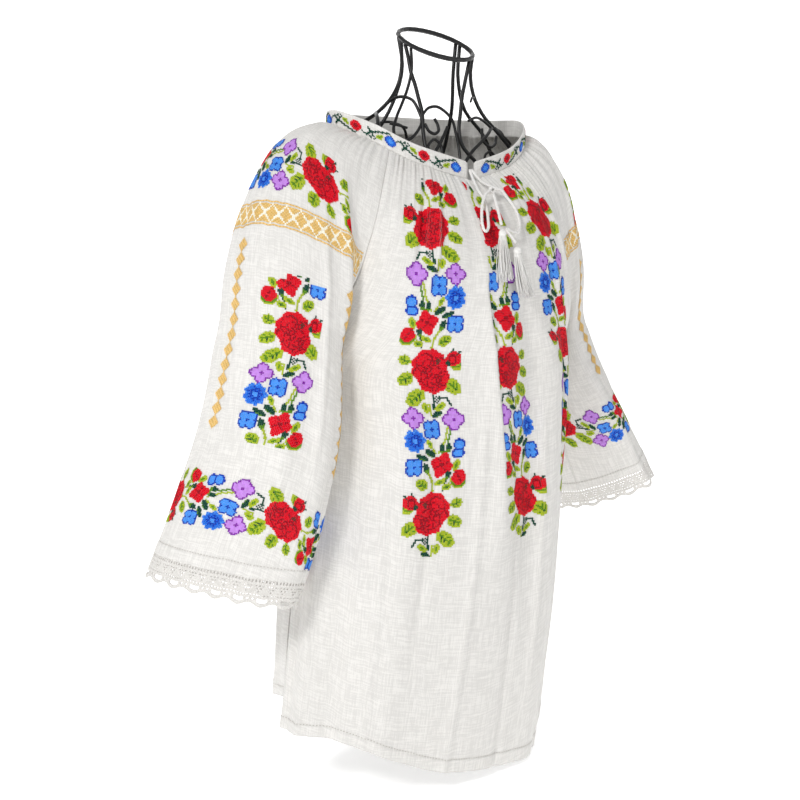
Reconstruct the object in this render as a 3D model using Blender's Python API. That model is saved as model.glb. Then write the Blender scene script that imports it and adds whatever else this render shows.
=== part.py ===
"""Romanian ie blouse on a black wire dress form, standing on a table.

+Z is up, the front faces -Y and the wearer's left is +X. The origin is on the table, under the middle.
Each cut piece of the blouse is a thin wall worked out from rings of named sizes.
"""
import bpy
import bmesh
import numpy as np
from math import radians

# Shift that brings the drawn model onto the frame's origin
PLACE = np.array([-0.011, 0.011, -0.014])

# Cloth and seams
CLOTH = 0.0012
HEM_CLOTH = 0.0026
SEAM_GAP = 0.0009
SEAM_FRACTION = 0.36
FRONT_HEM_DEPTH = 0.020
CUFF_HEM_DEPTH = 0.055

# Collar band
COLLAR_HALF_WIDTH = 0.115
COLLAR_HALF_DEPTH = 0.066
COLLAR_CENTRE_Y = -0.011
COLLAR_TALL = 0.0175
COLLAR_THICK = 0.0020
COLLAR_SPLIT = radians(2.2)
FRONT_SEAM_ANGLE = 46.0
BACK_SEAM_ANGLE = 130.0

# Height of the middle of the collar band round the neck: angle from the front in degrees, height
COLLAR_HEIGHT = np.array([
    (0.0, 0.625),
    (30.0, 0.641),
    (60.0, 0.664),
    (90.0, 0.676),
    (130.0, 0.678),
    (180.0, 0.680),
])

# Front panel by rows from the collar to the hem.
# down, centre y, centre z, edge x, edge y, edge z, arc of the row in degrees
FRONT_ROWS = np.array([
    (0.00, -0.0770, 0.6155, 0.0827, -0.0568, 0.6458, 48.0),
    (0.05, -0.1000, 0.5980, 0.1000, -0.0720, 0.6180, 52.0),
    (0.12, -0.1220, 0.5650, 0.1150, -0.0800, 0.5830, 58.0),
    (0.20, -0.1335, 0.5220, 0.1280, -0.0760, 0.5400, 64.0),
    (0.28, -0.1325, 0.4800, 0.1450, -0.0560, 0.4900, 73.0),
    (0.36, -0.1300, 0.4400, 0.1600, -0.0100, 0.4470, 88.0),
    (0.50, -0.1280, 0.3500, 0.1590, -0.0095, 0.3500, 90.0),
    (0.66, -0.1270, 0.2500, 0.1620, -0.0095, 0.2500, 90.0),
    (0.80, -0.1240, 0.1600, 0.1620, -0.0120, 0.1600, 90.0),
    (1.00, -0.1180, 0.0400, 0.1600, -0.0160, 0.0400, 90.0),
])
BACK_ROWS = np.array([
    (0.00, 0.0550, 0.6705, 0.0881, 0.0314, 0.6687, 50.0),
    (0.05, 0.0780, 0.6550, 0.1080, 0.0440, 0.6420, 56.0),
    (0.12, 0.0950, 0.6250, 0.1260, 0.0410, 0.6020, 66.0),
    (0.20, 0.1060, 0.5800, 0.1400, 0.0340, 0.5530, 74.0),
    (0.28, 0.1100, 0.5200, 0.1520, 0.0160, 0.4980, 82.0),
    (0.36, 0.1080, 0.4500, 0.1600, -0.0090, 0.4470, 88.0),
    (0.50, 0.1040, 0.3500, 0.1590, -0.0085, 0.3500, 90.0),
    (0.66, 0.1030, 0.2500, 0.1620, -0.0085, 0.2500, 90.0),
    (0.80, 0.1030, 0.1600, 0.1640, -0.0020, 0.1600, 90.0),
    (1.00, 0.1020, 0.0400, 0.1610, 0.0040, 0.0400, 90.0),
])

# Height of the curved hem: angle from the middle of the panel in degrees, height
FRONT_HEM = np.array([
    (-90.0, 0.083),
    (-62.0, 0.081),
    (-45.0, 0.073),
    (-30.0, 0.056),
    (-15.0, 0.039),
    (0.0, 0.029),
    (20.0, 0.021),
    (45.0, 0.018),
    (70.0, 0.026),
    (90.0, 0.044),
])
BACK_HEM = np.array([
    (-90.0, 0.104),
    (-50.0, 0.088),
    (0.0, 0.062),
    (50.0, 0.056),
    (90.0, 0.068),
])
LEVEL_ROW = 0.50
LEVEL_HEIGHT = 0.35
FRONT_SHIFT = -0.036
BACK_SHIFT = -0.018
COLLAR_GAP = 0.0016

# Soft standing folds: place across the panel, half width, height, first row and last row
FRONT_FOLDS = np.array([
    (-0.02, 0.060, 0.0050, 0.02, 0.75),
    (0.17, 0.070, -0.0050, 0.12, 0.80),
    (0.33, 0.090, 0.0040, 0.30, 1.00),
    (-0.22, 0.070, -0.0035, 0.00, 0.30),
    (-0.42, 0.080, 0.0040, 0.35, 1.00),
    (-0.68, 0.080, -0.0050, 0.30, 1.00),
    (0.62, 0.080, -0.0040, 0.45, 1.00),
    (0.84, 0.060, 0.0040, 0.50, 1.00),
])
BACK_FOLDS = np.array([
    (-0.62, 0.090, 0.0050, 0.20, 1.00),
    (-0.30, 0.080, -0.0050, 0.35, 1.00),
    (0.05, 0.090, 0.0060, 0.10, 1.00),
    (0.34, 0.080, -0.0050, 0.30, 1.00),
    (0.66, 0.090, 0.0050, 0.40, 1.00),
])
FRONT_GATHERS = 14
BACK_GATHERS = 12
SLEEVE_GATHERS = 10
GATHER_HEIGHT = 0.0020
GATHER_COLUMNS = 3

# Sleeves from the armpit to the cuff hem.
# down, out from the middle, y, z, half width, half depth, turn of the face to the front, lean outward
RIGHT_SLEEVE = np.array([
    (0.00, 0.1930, -0.0290, 0.4800, 0.0600, 0.0400, 35.0, 10.0),
    (0.40, 0.2070, -0.0260, 0.3820, 0.0680, 0.0360, 37.0, 13.0),
    (0.64, 0.2190, -0.0180, 0.3290, 0.0720, 0.0340, 36.0, 13.0),
    (1.00, 0.2410, -0.0010, 0.2500, 0.0770, 0.0320, 34.0, 12.0),
])
LEFT_SLEEVE = np.array([
    (0.00, 0.1720, 0.0020, 0.4800, 0.0520, 0.0360, 5.0, 12.0),
    (0.40, 0.2000, 0.0060, 0.3900, 0.0610, 0.0360, -14.0, 22.0),
    (0.64, 0.2290, 0.0110, 0.3420, 0.0650, 0.0340, -20.0, 28.0),
    (1.00, 0.2640, 0.0180, 0.2800, 0.0700, 0.0330, -22.0, 32.0),
])
SLEEVE_FOLDS = np.array([
    (0.20, 0.040, 0.0050, 0.10, 1.00),
    (0.36, 0.045, -0.0040, 0.30, 0.90),
    (0.62, 0.050, -0.0040, 0.15, 0.85),
    (0.80, 0.045, 0.0045, 0.25, 1.00),
])
RIGHT_REACH = 0.215
LEFT_REACH = 0.160
SHOULDER_RISE = 0.34
SHOULDER_FALL = 0.230

# The body's oval that the sleeves lie along: height, half width, half depth
BODY_OVAL = np.array([
    (0.200, 0.164, 0.118),
    (0.350, 0.162, 0.121),
    (0.447, 0.162, 0.124),
    (0.490, 0.157, 0.126),
    (0.540, 0.152, 0.126),
    (0.583, 0.147, 0.116),
    (0.620, 0.139, 0.096),
])
BODY_MIDDLE_Y = -0.010
BODY_CLEARANCE = 0.007
ARMPIT_CLEARANCE = 0.0020
SOFTEN_TIMES = 3

# Cuff lace
LACE_TALL = 0.0270
LACE_THICK = 0.0012
LACE_DIP = 0.0035
LACE_SCALLOPS = 16
LACE_SLOT_TOP = 0.0175
LACE_SLOT_BOTTOM = 0.0212
LACE_SLOT_SIDES = (0.35, 0.65)

# Tie cords and tassels
CORD_RADIUS = 0.0015
KNOT_RADIUS = 0.0036
TASSEL_SIDES = 12
TASSEL_LONG = 0.043
TASSEL_HEAD = 0.010

# Wire form
WIRE_RADIUS = 0.0020
NECK_RING_RADIUS = 0.040
NECK_RING_CENTRE = (0.014, -0.005, 0.757)
NECK_RING_TILT = radians(29.0)
NECK_FLOW = (0.600, 0.140)
RIB_COUNT = 8
BASE_TALL = 0.0040
BASE_SIDES = 24
BASE_WIDE = 0.0100
BASE_CENTRE = (0.025, 0.000)
TABLE = 0.014

# Sections of the form: half width, front depth, back depth, height at the side, front and back
FORM_LEVELS = np.array([
    (0.037, 0.034, 0.030, 0.735, 0.722, 0.740),
    (0.042, 0.037, 0.031, 0.712, 0.696, 0.714),
    (0.060, 0.044, 0.034, 0.690, 0.668, 0.690),
    (0.092, 0.054, 0.040, 0.670, 0.636, 0.664),
    (0.122, 0.070, 0.056, 0.642, 0.598, 0.630),
    (0.142, 0.098, 0.080, 0.580, 0.550, 0.580),
    (0.140, 0.112, 0.088, 0.490, 0.490, 0.490),
    (0.116, 0.092, 0.076, 0.350, 0.350, 0.350),
    (0.130, 0.100, 0.084, 0.220, 0.220, 0.220),
    (0.102, 0.082, 0.074, 0.090, 0.090, 0.090),
    (0.050, 0.050, 0.050, 0.020, 0.020, 0.020),
])


def through(table, at):
    """Read a table of rows at any place along its first column.

    The curve is a cubic between rows. Its slope at a row is the harmonic mean of the slopes beside it,
    and level where they turn round, so that it never passes beyond the rows.
    """
    at = np.atleast_1d(np.asarray(at, float))
    place = table[:, 0]
    values = table[:, 1:]
    steps = np.diff(values, axis=0) / np.diff(place)[:, None]
    product = steps[:-1] * steps[1:]
    inner = np.where(product > 0, 2 * product / np.where(product > 0, steps[:-1] + steps[1:], 1.0), 0.0)
    slope = np.concatenate([steps[:1], inner, steps[-1:]])
    row = np.clip(np.searchsorted(place, at, side="right") - 1, 0, len(place) - 2)
    step = (place[row + 1] - place[row])[:, None]
    part = np.clip((at[:, None] - place[row][:, None]) / step, 0.0, 1.0)
    return cubic(part, step, values[row], values[row + 1], slope[row], slope[row + 1])


def curve_through(table, at):
    """Read a free curve through rows of places and points, with the mean slope at each row."""
    place = table[:, 0]
    values = table[:, 1:]
    slope = np.gradient(values, place, axis=0)
    row = np.clip(np.searchsorted(place, at, side="right") - 1, 0, len(place) - 2)
    step = (place[row + 1] - place[row])[:, None]
    part = np.clip((at[:, None] - place[row][:, None]) / step, 0.0, 1.0)
    return cubic(part, step, values[row], values[row + 1], slope[row], slope[row + 1])


def cubic(part, step, first, second, leave, arrive):
    """Join two values by a cubic that leaves and arrives with given slopes."""
    return ((1 + 2 * part) * (1 - part) ** 2 * first + part * (1 - part) ** 2 * step * leave
            + part ** 2 * (3 - 2 * part) * second - part ** 2 * (1 - part) * step * arrive)


def ease(values):
    """Go from 0 to 1 with a level start and end."""
    part = np.clip(values, 0.0, 1.0)
    return part * part * (3 - 2 * part)


def unit(vectors):
    """Scale vectors to length one."""
    return vectors / np.maximum(np.linalg.norm(vectors, axis=-1, keepdims=True), 1e-9)


def material(name, colour, roughness, metallic=0.0):
    """Make a plain material with a colour, roughness and metallic value."""
    made = bpy.data.materials.new(name)
    made.use_nodes = True
    shader = made.node_tree.nodes["Principled BSDF"]
    shader.inputs["Base Color"].default_value = (*colour, 1.0)
    shader.inputs["Roughness"].default_value = roughness
    shader.inputs["Metallic"].default_value = metallic
    return made


def add_mesh(name, points, faces, finish):
    """Make a named object from points and faces, with faces out and round shading."""
    mesh = bpy.data.meshes.new(name)
    mesh.from_pydata((np.asarray(points).reshape(-1, 3) + PLACE).tolist(), [], faces)
    shaper = bmesh.new()
    shaper.from_mesh(mesh)
    bmesh.ops.recalc_face_normals(shaper, faces=shaper.faces)
    if shaper.calc_volume(signed=True) < 0:
        bmesh.ops.reverse_faces(shaper, faces=shaper.faces)
    shaper.to_mesh(mesh)
    shaper.free()
    mesh.shade_smooth()
    mesh.set_sharp_from_angle(angle=radians(40))
    mesh.materials.append(finish)
    made = bpy.data.objects.new(name, mesh)
    bpy.context.scene.collection.objects.link(made)
    return made


def grid_normals(grid):
    """Give the outward direction at each point of a grid of rows and columns."""
    down = np.gradient(grid, axis=0)
    across = np.gradient(grid, axis=1)
    return unit(np.cross(across, down))


def add_wall(name, grid, thickness, finish, outward, kept=None):
    """Make a closed wall from a grid: its points moved out and in by half the thickness.

    Both faces of a cell are parted along the same diagonal, the shorter one, so that they stay apart.

    thickness is one value or one for each row, and kept marks the cells that aren't cut away.
    """
    rows, columns = grid.shape[:2]
    normal = grid_normals(grid) * outward
    thick = np.broadcast_to(np.asarray(thickness, float).reshape(-1, 1, 1), (rows, 1, 1))
    outside = grid + normal * (thick - CLOTH / 2)
    inside = grid - normal * CLOTH / 2
    points = np.concatenate([outside.reshape(-1, 3), inside.reshape(-1, 3)])
    if kept is None:
        kept = np.ones((rows - 1, columns - 1), bool)
    number = np.arange(rows * columns).reshape(rows, columns)
    quads = []
    for row, column in np.argwhere(kept):
        quads.append((number[row, column], number[row, column + 1],
                      number[row + 1, column + 1], number[row + 1, column]))
    shift = rows * columns
    edges = {}
    for quad in quads:
        for first, second in zip(quad, quad[1:] + quad[:1]):
            edges[(first, second)] = True
    flat = grid.reshape(-1, 3)
    faces = []
    for a, b, c, d in quads:
        level = np.linalg.norm(flat[a] - flat[c]) < np.linalg.norm(flat[b] - flat[d])
        faces += [(a, b, c), (a, c, d)] if level else [(a, b, d), (b, c, d)]
    faces += [tuple(v + shift for v in reversed(face)) for face in faces]
    for first, second in edges:
        if (second, first) not in edges:
            faces.append((second, first, first + shift, second + shift))
    used = sorted({int(v) for face in faces for v in face})
    place = {v: index for index, v in enumerate(used)}
    faces = [tuple(place[v] for v in face) for face in faces]
    return add_mesh(name, points[used], faces, finish)


def add_tube(name, path, radius, finish, sides=6, closed=False):
    """Carry a small ring along a path of points, with flat caps or joined ends."""
    path = np.asarray(path, float)
    if closed:
        ahead = np.roll(path, -1, axis=0) - np.roll(path, 1, axis=0)
    else:
        ahead = np.gradient(path, axis=0)
    ahead = unit(ahead)
    guide = np.array([0.13, 0.21, 1.0]) if abs(ahead[:, 2]).mean() < 0.6 else np.array([0.2, 1.0, 0.1])
    side = unit(np.cross(ahead, guide))
    over = np.cross(side, ahead)
    angle = np.arange(sides) * 2 * np.pi / sides
    rings = path[:, None] + radius * (np.cos(angle)[None, :, None] * side[:, None]
                                      + np.sin(angle)[None, :, None] * over[:, None])
    count = len(path)
    faces = []
    for ring in range(count if closed else count - 1):
        after = (ring + 1) % count
        for step in range(sides):
            beside = (step + 1) % sides
            faces.append((ring * sides + step, ring * sides + beside,
                          after * sides + beside, after * sides + step))
    if not closed:
        faces.append(tuple(range(sides)))
        faces.append(tuple((count - 1) * sides + step for step in range(sides)))
    return add_mesh(name, rings, faces, finish)


def collar_point(angle, up):
    """Give points of the collar ring at angles in radians, a distance above its middle."""
    turn = np.abs((np.degrees(angle) + 180.0) % 360.0 - 180.0)
    height = through(COLLAR_HEIGHT, turn)[:, 0]
    return np.stack([COLLAR_HALF_WIDTH * np.sin(angle),
                     COLLAR_CENTRE_Y - COLLAR_HALF_DEPTH * np.cos(angle),
                     height + up], axis=-1)


def fold_height(folds, across, down):
    """Add up the soft folds: each is a bell across the panel that rises and fades along it."""
    height = np.zeros(np.broadcast(across, down).shape)
    for place, width, tall, first, last in folds:
        bell = np.exp(-((across - place) / width) ** 2)
        rise = ease((down - first) / 0.18 + 0.15)
        fade = ease((last - down) / 0.20 + (1.0 if last >= 1.0 else 0.0))
        height = height + tall * bell * rise * fade
    return height


def panel_grid(table, hem, shift, folds, gathers, down, neck, facing):
    """Work out a front or back panel: each row is an arc from edge to edge through its centre.

    The first row follows the collar between the seam angles in neck. The rows of the skirt reach down
    evenly to the curved hem, which hangs to one side by shift. The gathers are waves that fade below the collar, and the folds stand out
    along the panel's normal.
    """
    down = np.asarray(down)[:, None]
    values = through(table, down[:, 0])
    centre_y, centre_z, edge_x, edge_y, edge_z, arc = values.T[:, :, None]
    across = np.linspace(-1.0, 1.0, GATHER_COLUMNS * gathers + 1)[None, :]
    arc = np.radians(arc)
    turn = across * arc
    share = (np.cos(turn) - np.cos(arc)) / (1 - np.cos(arc))
    low = np.clip((down - LEVEL_ROW) / (1 - LEVEL_ROW), 0.0, 1.0)
    x = edge_x * np.sin(turn) / np.sin(arc) + shift * low ** 1.5
    y = edge_y + (centre_y - edge_y) * share
    z = edge_z + (centre_z - edge_z) * share
    hem_height = through(hem, across[0] * 90.0)[:, 0]
    z = np.where(down > LEVEL_ROW, LEVEL_HEIGHT + (hem_height[None, :] - LEVEL_HEIGHT) * low, z)
    grid = np.stack([x, y, z], axis=-1)
    angle = np.radians(neck[0] + (neck[1] - neck[0]) * (across[0] + 1) / 2)
    top = collar_point(angle, -COLLAR_TALL / 2 - COLLAR_GAP)
    settle = (1 - ease(down / 0.10))[..., None]
    grid = grid + settle * (top - grid[0])[None]
    calm = 1 - np.abs(across) ** 6
    fading = (1 - ease(down / 0.20)) * ease(down / 0.02)
    waves = GATHER_HEIGHT * fading * np.cos((across + 1) * np.pi * gathers)
    height = (fold_height(folds, across, down) * ease(down / 0.04) + waves) * calm
    return grid + grid_normals(grid) * facing * height[..., None]


def pull_in_edges(grid):
    """Move both side edges in by the seam gap, so that neighbours stay clear of each other."""
    moved = grid.copy()
    moved[:, 0] += unit(grid[:, 1] - grid[:, 0]) * SEAM_GAP
    moved[:, -1] += unit(grid[:, -2] - grid[:, -1]) * SEAM_GAP
    return moved


def sleeve_ring(row, around, side):
    """Give the tube's ring of one table row: a flat oval whose face is turned to the front."""
    out, y, z, half_width, half_depth, face, lean = row
    face = np.radians(face)
    angle = around * 2 * np.pi
    forward = half_width * np.sin(angle)
    outward = -half_depth * np.cos(angle)
    away = outward * np.cos(face) - forward * np.sin(face)
    ahead = outward * np.sin(face) + forward * np.cos(face)
    return np.stack([side * (out + away), y - ahead, z + np.tan(np.radians(lean)) * away], axis=-1)


def sleeve_grid(table, side, reach, seams, tube):
    """Work out a sleeve: a rounded cap from the collar to the armpit, then a tube to the cuff.

    Each line of the cap is a smooth curve that leaves the collar outward and arrives downward, and
    both edges are drawn onto the raglan seams. Below, the two edges meet in the underarm seam.
    seams holds the front and back seam's points at the places of the cap's rows.
    """
    columns = GATHER_COLUMNS * SLEEVE_GATHERS + 1
    around = np.linspace(0.0, 1.0, columns)
    turned = FRONT_SEAM_ANGLE + (BACK_SEAM_ANGLE - FRONT_SEAM_ANGLE) * around
    angle = np.radians(turned)
    start = collar_point(angle, -COLLAR_TALL / 2 - COLLAR_GAP)
    end = sleeve_ring(through(table, 0.0)[0], around, 1.0)
    leave = np.stack([np.sin(angle), -0.55 * np.cos(angle), np.full(columns, SHOULDER_RISE)], axis=-1)
    leave = leave * reach
    arrive = np.array([0.02, -0.01, -1.0]) * SHOULDER_FALL
    part = np.asarray(CAP_PLACES)[:, None, None]
    lines = cubic(part, 1.0, start, end, leave, arrive)
    front, back = seams
    to_front = (np.clip(1 - around / 0.45, 0, 1) ** 2)[None, :, None]
    to_back = (np.clip((around - 0.55) / 0.45, 0, 1) ** 2)[None, :, None]
    lines = lines + to_front * (front[:, None] - lines[:, :1]) + to_back * (back[:, None] - lines[:, -1:])
    low = [sleeve_ring(row, around, 1.0) for row in through(table, tube)]
    armpit = lines[-1] - low[0]
    settle = [np.clip(1 - place / 0.35, 0, 1) ** 2 for place in tube]
    low = [ring + armpit * share for ring, share in zip(low, settle)]
    grid = np.concatenate([lines, np.array(low)[1:]])
    down = np.concatenate([np.asarray(CAP_PLACES) * 0.4, 0.4 + 0.6 * np.asarray(tube)[1:]])[:, None]
    calm = (1 - np.abs(2 * around - 1) ** 4)[None, :]
    fading = (1 - ease(down / 0.22)) * ease(down / 0.03)
    waves = GATHER_HEIGHT * fading * np.cos(around * 2 * np.pi * SLEEVE_GATHERS)[None, :]
    height = (fold_height(SLEEVE_FOLDS, around[None, :], down) + waves) * calm
    grid = clear_of_body(grid, around)
    for _ in range(SOFTEN_TIMES):
        grid[1:, 1:-1] = (grid[1:, :-2] + 2 * grid[1:, 1:-1] + grid[1:, 2:]) / 4
    grid = grid + grid_normals(grid) * height[..., None]
    grid = pull_in_edges(grid)
    grid[..., 0] *= side
    return grid


def clear_of_body(grid, around):
    """Push the sleeve's inner side out of the body's oval, less so at the raglan seams."""
    moved = grid.copy()
    width, depth = through(BODY_OVAL, grid[..., 2].ravel()).T.reshape(2, *grid.shape[:2])
    rows = len(CAP_PLACES)
    inner = ease(np.minimum(around, 1 - around) / 0.10)[None, :]
    low = ease((np.array(CAP_PLACES) - 0.5) / 0.5) * ARMPIT_CLEARANCE / BODY_CLEARANCE
    edge = np.concatenate([low, np.ones(len(grid) - rows)])[:, None]
    loose = BODY_CLEARANCE * (edge + (1 - edge) * inner)
    ahead = grid[..., 1] - BODY_MIDDLE_Y
    reach = np.sqrt((grid[..., 0] / (width + loose)) ** 2 + (ahead / (depth + loose)) ** 2)
    near = (grid[..., 2] < BODY_OVAL[-2, 0]) & (loose > 0)
    scale = np.where(near, np.maximum(1.0, 1.0 / np.maximum(reach, 0.3)), 1.0)
    moved[..., 0] = grid[..., 0] * scale
    moved[..., 1] = ahead * scale + BODY_MIDDLE_Y
    return moved


# Where the rows lie: down the seams to the armpit, down the skirt and down the sleeve's tube
CAP_PLACES = (0.0, 0.08, 0.18, 0.31, 0.47, 0.64, 0.82, 1.0)
LOW_PLACES = (0.47, 0.60, 0.73, 0.87)
TUBE_PLACES = (0.0, 0.15, 0.32, 0.50, 0.68, 0.84)


def build_panels(finish):
    """Build the front and back panels with a thicker turned hem, and give back their left seams."""
    hem = (1 - FRONT_HEM_DEPTH - 0.004, 1 - FRONT_HEM_DEPTH, 1.0)
    down = [part * SEAM_FRACTION for part in CAP_PLACES] + list(LOW_PLACES) + list(hem)
    thick = [CLOTH] * (len(down) - 2) + [HEM_CLOTH] * 2
    neck = (-FRONT_SEAM_ANGLE, FRONT_SEAM_ANGLE)
    front = panel_grid(FRONT_ROWS, FRONT_HEM, FRONT_SHIFT, FRONT_FOLDS, FRONT_GATHERS, down, neck, -1.0)
    add_wall("front", pull_in_edges(front), thick, finish, -1.0)
    neck = (360.0 - BACK_SEAM_ANGLE, BACK_SEAM_ANGLE)
    back = panel_grid(BACK_ROWS, BACK_HEM, BACK_SHIFT, BACK_FOLDS, BACK_GATHERS, down, neck, 1.0)
    add_wall("back", pull_in_edges(back), thick, finish, 1.0)
    rows = len(CAP_PLACES)
    return front[:rows, -1], back[:rows, -1]


def build_sleeve(name, table, side, reach, seams, finish):
    """Build one sleeve with its turned cuff hem, and give back its last row."""
    hem = (1 - CUFF_HEM_DEPTH - 0.008, 1 - CUFF_HEM_DEPTH, 1.0)
    tube = list(TUBE_PLACES) + list(hem)
    grid = sleeve_grid(table, side, reach, seams, tube)
    thick = [CLOTH] * (len(grid) - 2) + [HEM_CLOTH] * 2
    add_wall(name, grid, thick, finish, side)
    return grid


def build_collar(finish):
    """Build the standing band round the neck, split at the centre front."""
    angle = np.linspace(COLLAR_SPLIT, 2 * np.pi - COLLAR_SPLIT, 61)
    low = collar_point(angle, -COLLAR_TALL / 2)
    high = collar_point(angle, COLLAR_TALL / 2)
    grid = np.stack([high, low])
    add_wall("collar", grid, COLLAR_THICK, finish, 1.0)


def build_lace(name, sleeve, finish):
    """Build the cuff lace in two halves, with one slot cut through in each scallop."""
    rim = sleeve[-1]
    above = sleeve[-2]
    steps = np.linalg.norm(np.diff(rim, axis=0), axis=1)
    along = np.concatenate([[0.0], np.cumsum(steps)])
    pitch = (along[-1] - 0.002) / LACE_SCALLOPS
    fall = unit(rim - above)
    places = np.array([0.0, LACE_SLOT_SIDES[0], LACE_SLOT_SIDES[1]])
    depths = np.array([0.0006, LACE_SLOT_TOP, LACE_SLOT_BOTTOM, LACE_TALL])
    for half, first in (("front", 0), ("back", LACE_SCALLOPS // 2)):
        count = LACE_SCALLOPS // 2
        place = (np.arange(count)[:, None] + first + places[None, :]).ravel()
        place = np.append(place, first + count)
        at = 0.001 + place * pitch
        at[0] += SEAM_GAP / 2
        at[-1] -= SEAM_GAP / 2
        top = np.stack([np.interp(at, along, rim[:, axis]) for axis in range(3)], axis=-1)
        drop = np.stack([np.interp(at, along, fall[:, axis]) for axis in range(3)], axis=-1)
        dip = np.where(np.isclose(place % 1.0, 0.0), LACE_DIP, 0.0)
        rows = [top + drop * depth for depth in depths[:-1]]
        rows.append(top + drop * (depths[-1] - dip)[:, None])
        kept = np.ones((3, len(at) - 1), bool)
        kept[1, 1::3] = False
        add_wall(name + "_" + half, np.array(rows), LACE_THICK, finish, 1.0, kept)


def smooth_route(points, count, crowd=1.0):
    """Read points from one smooth curve through the route's own points, closer at its start if asked."""
    points = np.asarray(points, float)
    steps = np.linalg.norm(np.diff(points, axis=0), axis=1)
    along = np.concatenate([[0.0], np.cumsum(steps)])
    table = np.column_stack([along, points])
    return curve_through(table, np.linspace(0.0, 1.0, count) ** crowd * along[-1])


def add_cord(name, points, count, finish):
    """Make a round cord as a curve with a bevel and filled caps."""
    curve = bpy.data.curves.new(name, "CURVE")
    curve.dimensions = "3D"
    curve.bevel_depth = CORD_RADIUS
    curve.bevel_resolution = 2
    curve.use_fill_caps = True
    route = smooth_route(points, count)
    line = curve.splines.new("POLY")
    line.points.add(count - 1)
    for point, place in zip(line.points, route + PLACE):
        point.co = (*place, 1.0)
    curve.materials.append(finish)
    made = bpy.data.objects.new(name, curve)
    bpy.context.scene.collection.objects.link(made)
    return made


# Tie routes, x, y and z of points chosen by hand in front of the chest
NEAR_LOOP = ((-0.0035, -0.0860, 0.6150), (-0.0075, -0.0970, 0.6080), (-0.0125, -0.1140, 0.5950),
             (-0.0190, -0.1265, 0.5790), (-0.0250, -0.1330, 0.5680), (-0.0290, -0.1340, 0.5660),
             (-0.0300, -0.1320, 0.5710), (-0.0260, -0.1255, 0.5820), (-0.0190, -0.1160, 0.5950))
FAR_LOOP = ((0.0020, -0.1120, 0.6075), (0.0080, -0.1120, 0.6070), (0.0150, -0.1150, 0.5990),
            (0.0205, -0.1225, 0.5850), (0.0180, -0.1300, 0.5720), (0.0090, -0.1360, 0.5650),
            (0.0000, -0.1370, 0.5670), (-0.0060, -0.1365, 0.5700))
FAR_DROP = ((-0.0060, -0.1400, 0.5660), (-0.0045, -0.1445, 0.5610), (-0.0035, -0.1485, 0.5560))
DROP_PAIR = ((-0.0050, -0.1180, 0.6020), (-0.0090, -0.1280, 0.5900), (-0.0140, -0.1400, 0.5730))
UPPER_KNOT = (-0.0030, -0.1130, 0.6065)
NEAR_TASSEL = (-0.0155, -0.1435, 0.5690)
FAR_TASSEL = (-0.0030, -0.1505, 0.5525)


def add_knot(name, centre, radius, finish):
    """Make a small lumpy knot."""
    shaper = bmesh.new()
    bmesh.ops.create_icosphere(shaper, subdivisions=2, radius=radius)
    points = np.array([vertex.co[:] for vertex in shaper.verts])
    faces = [tuple(vertex.index for vertex in face.verts) for face in shaper.faces]
    shaper.free()
    swell = 1 + 0.06 * np.sin(points[:, :1] * 1900) * np.cos(points[:, 2:] * 1500)
    add_mesh(name, points * swell + np.array(centre), faces, finish)


def add_tassel(name, top, lean, finish):
    """Make a tassel: a domed head with strands that part below it and hang against the chest."""
    rows = ((0.0015, 0.0), (0.0034, 0.0022), (0.0040, 0.0060), (0.0034, TASSEL_HEAD),
            (0.0017, TASSEL_HEAD))
    sides = TASSEL_SIDES
    angle = np.arange(sides) * 2 * np.pi / sides
    head = [np.stack([radius * np.cos(angle), 0.8 * radius * np.sin(angle), np.full(sides, -depth)],
                     axis=-1) for radius, depth in rows]
    points = list(np.concatenate(head))
    faces = [tuple(range(sides))]
    for row in range(len(rows) - 2):
        for step in range(sides):
            beside = (step + 1) % sides
            faces.append((row * sides + step, row * sides + beside,
                          (row + 1) * sides + beside, (row + 1) * sides + step))
    rim = (len(rows) - 2) * sides
    middle = rim + sides
    centre = len(points)
    points.append(np.array([0.0, 0.0, -TASSEL_HEAD]))
    spread = np.random.default_rng(7)
    for step in range(sides):
        beside = (step + 1) % sides
        for corners in ((middle + step, middle + beside, centre),
                        (rim + step, rim + beside, middle + step),
                        (rim + beside, middle + beside, middle + step)):
            add_strand(points, faces, corners, spread, lean)
    add_mesh(name, np.array(points) + np.array(top), faces, finish)


def add_strand(points, faces, root, spread, lean):
    """Draw one strand of three sides down from its root triangle, narrower than the root."""
    corners = np.array([points[index] for index in root])
    middle = corners.mean(axis=0)
    number = len(points)
    inset = middle + (corners - middle) * 0.62
    points.extend(inset - np.array([0, 0, 0.0008]))
    out = middle * np.array([1.0, 0.8, 0.0])
    long = TASSEL_LONG * (0.93 + 0.10 * spread.random())
    bend = np.array([lean, 0.0, 0.0])
    half = middle + out * 0.9 + bend * 0.45 - np.array([0, 0, long * 0.45])
    end = middle + out * 1.5 + bend + np.array([0, 0, -long])
    shape = (corners - middle) * 0.62
    points.extend(half + shape)
    points.extend(end + shape * 0.8)
    a, b, c = root
    d, e, f = number, number + 1, number + 2
    faces.extend([(a, b, e, d), (b, c, f, e), (c, a, d, f)])
    for start in (number, number + 3):
        for step in range(3):
            beside = (step + 1) % 3
            faces.append((start + step, start + beside, start + 3 + beside, start + 3 + step))
    faces.append((number + 6, number + 7, number + 8))


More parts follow.
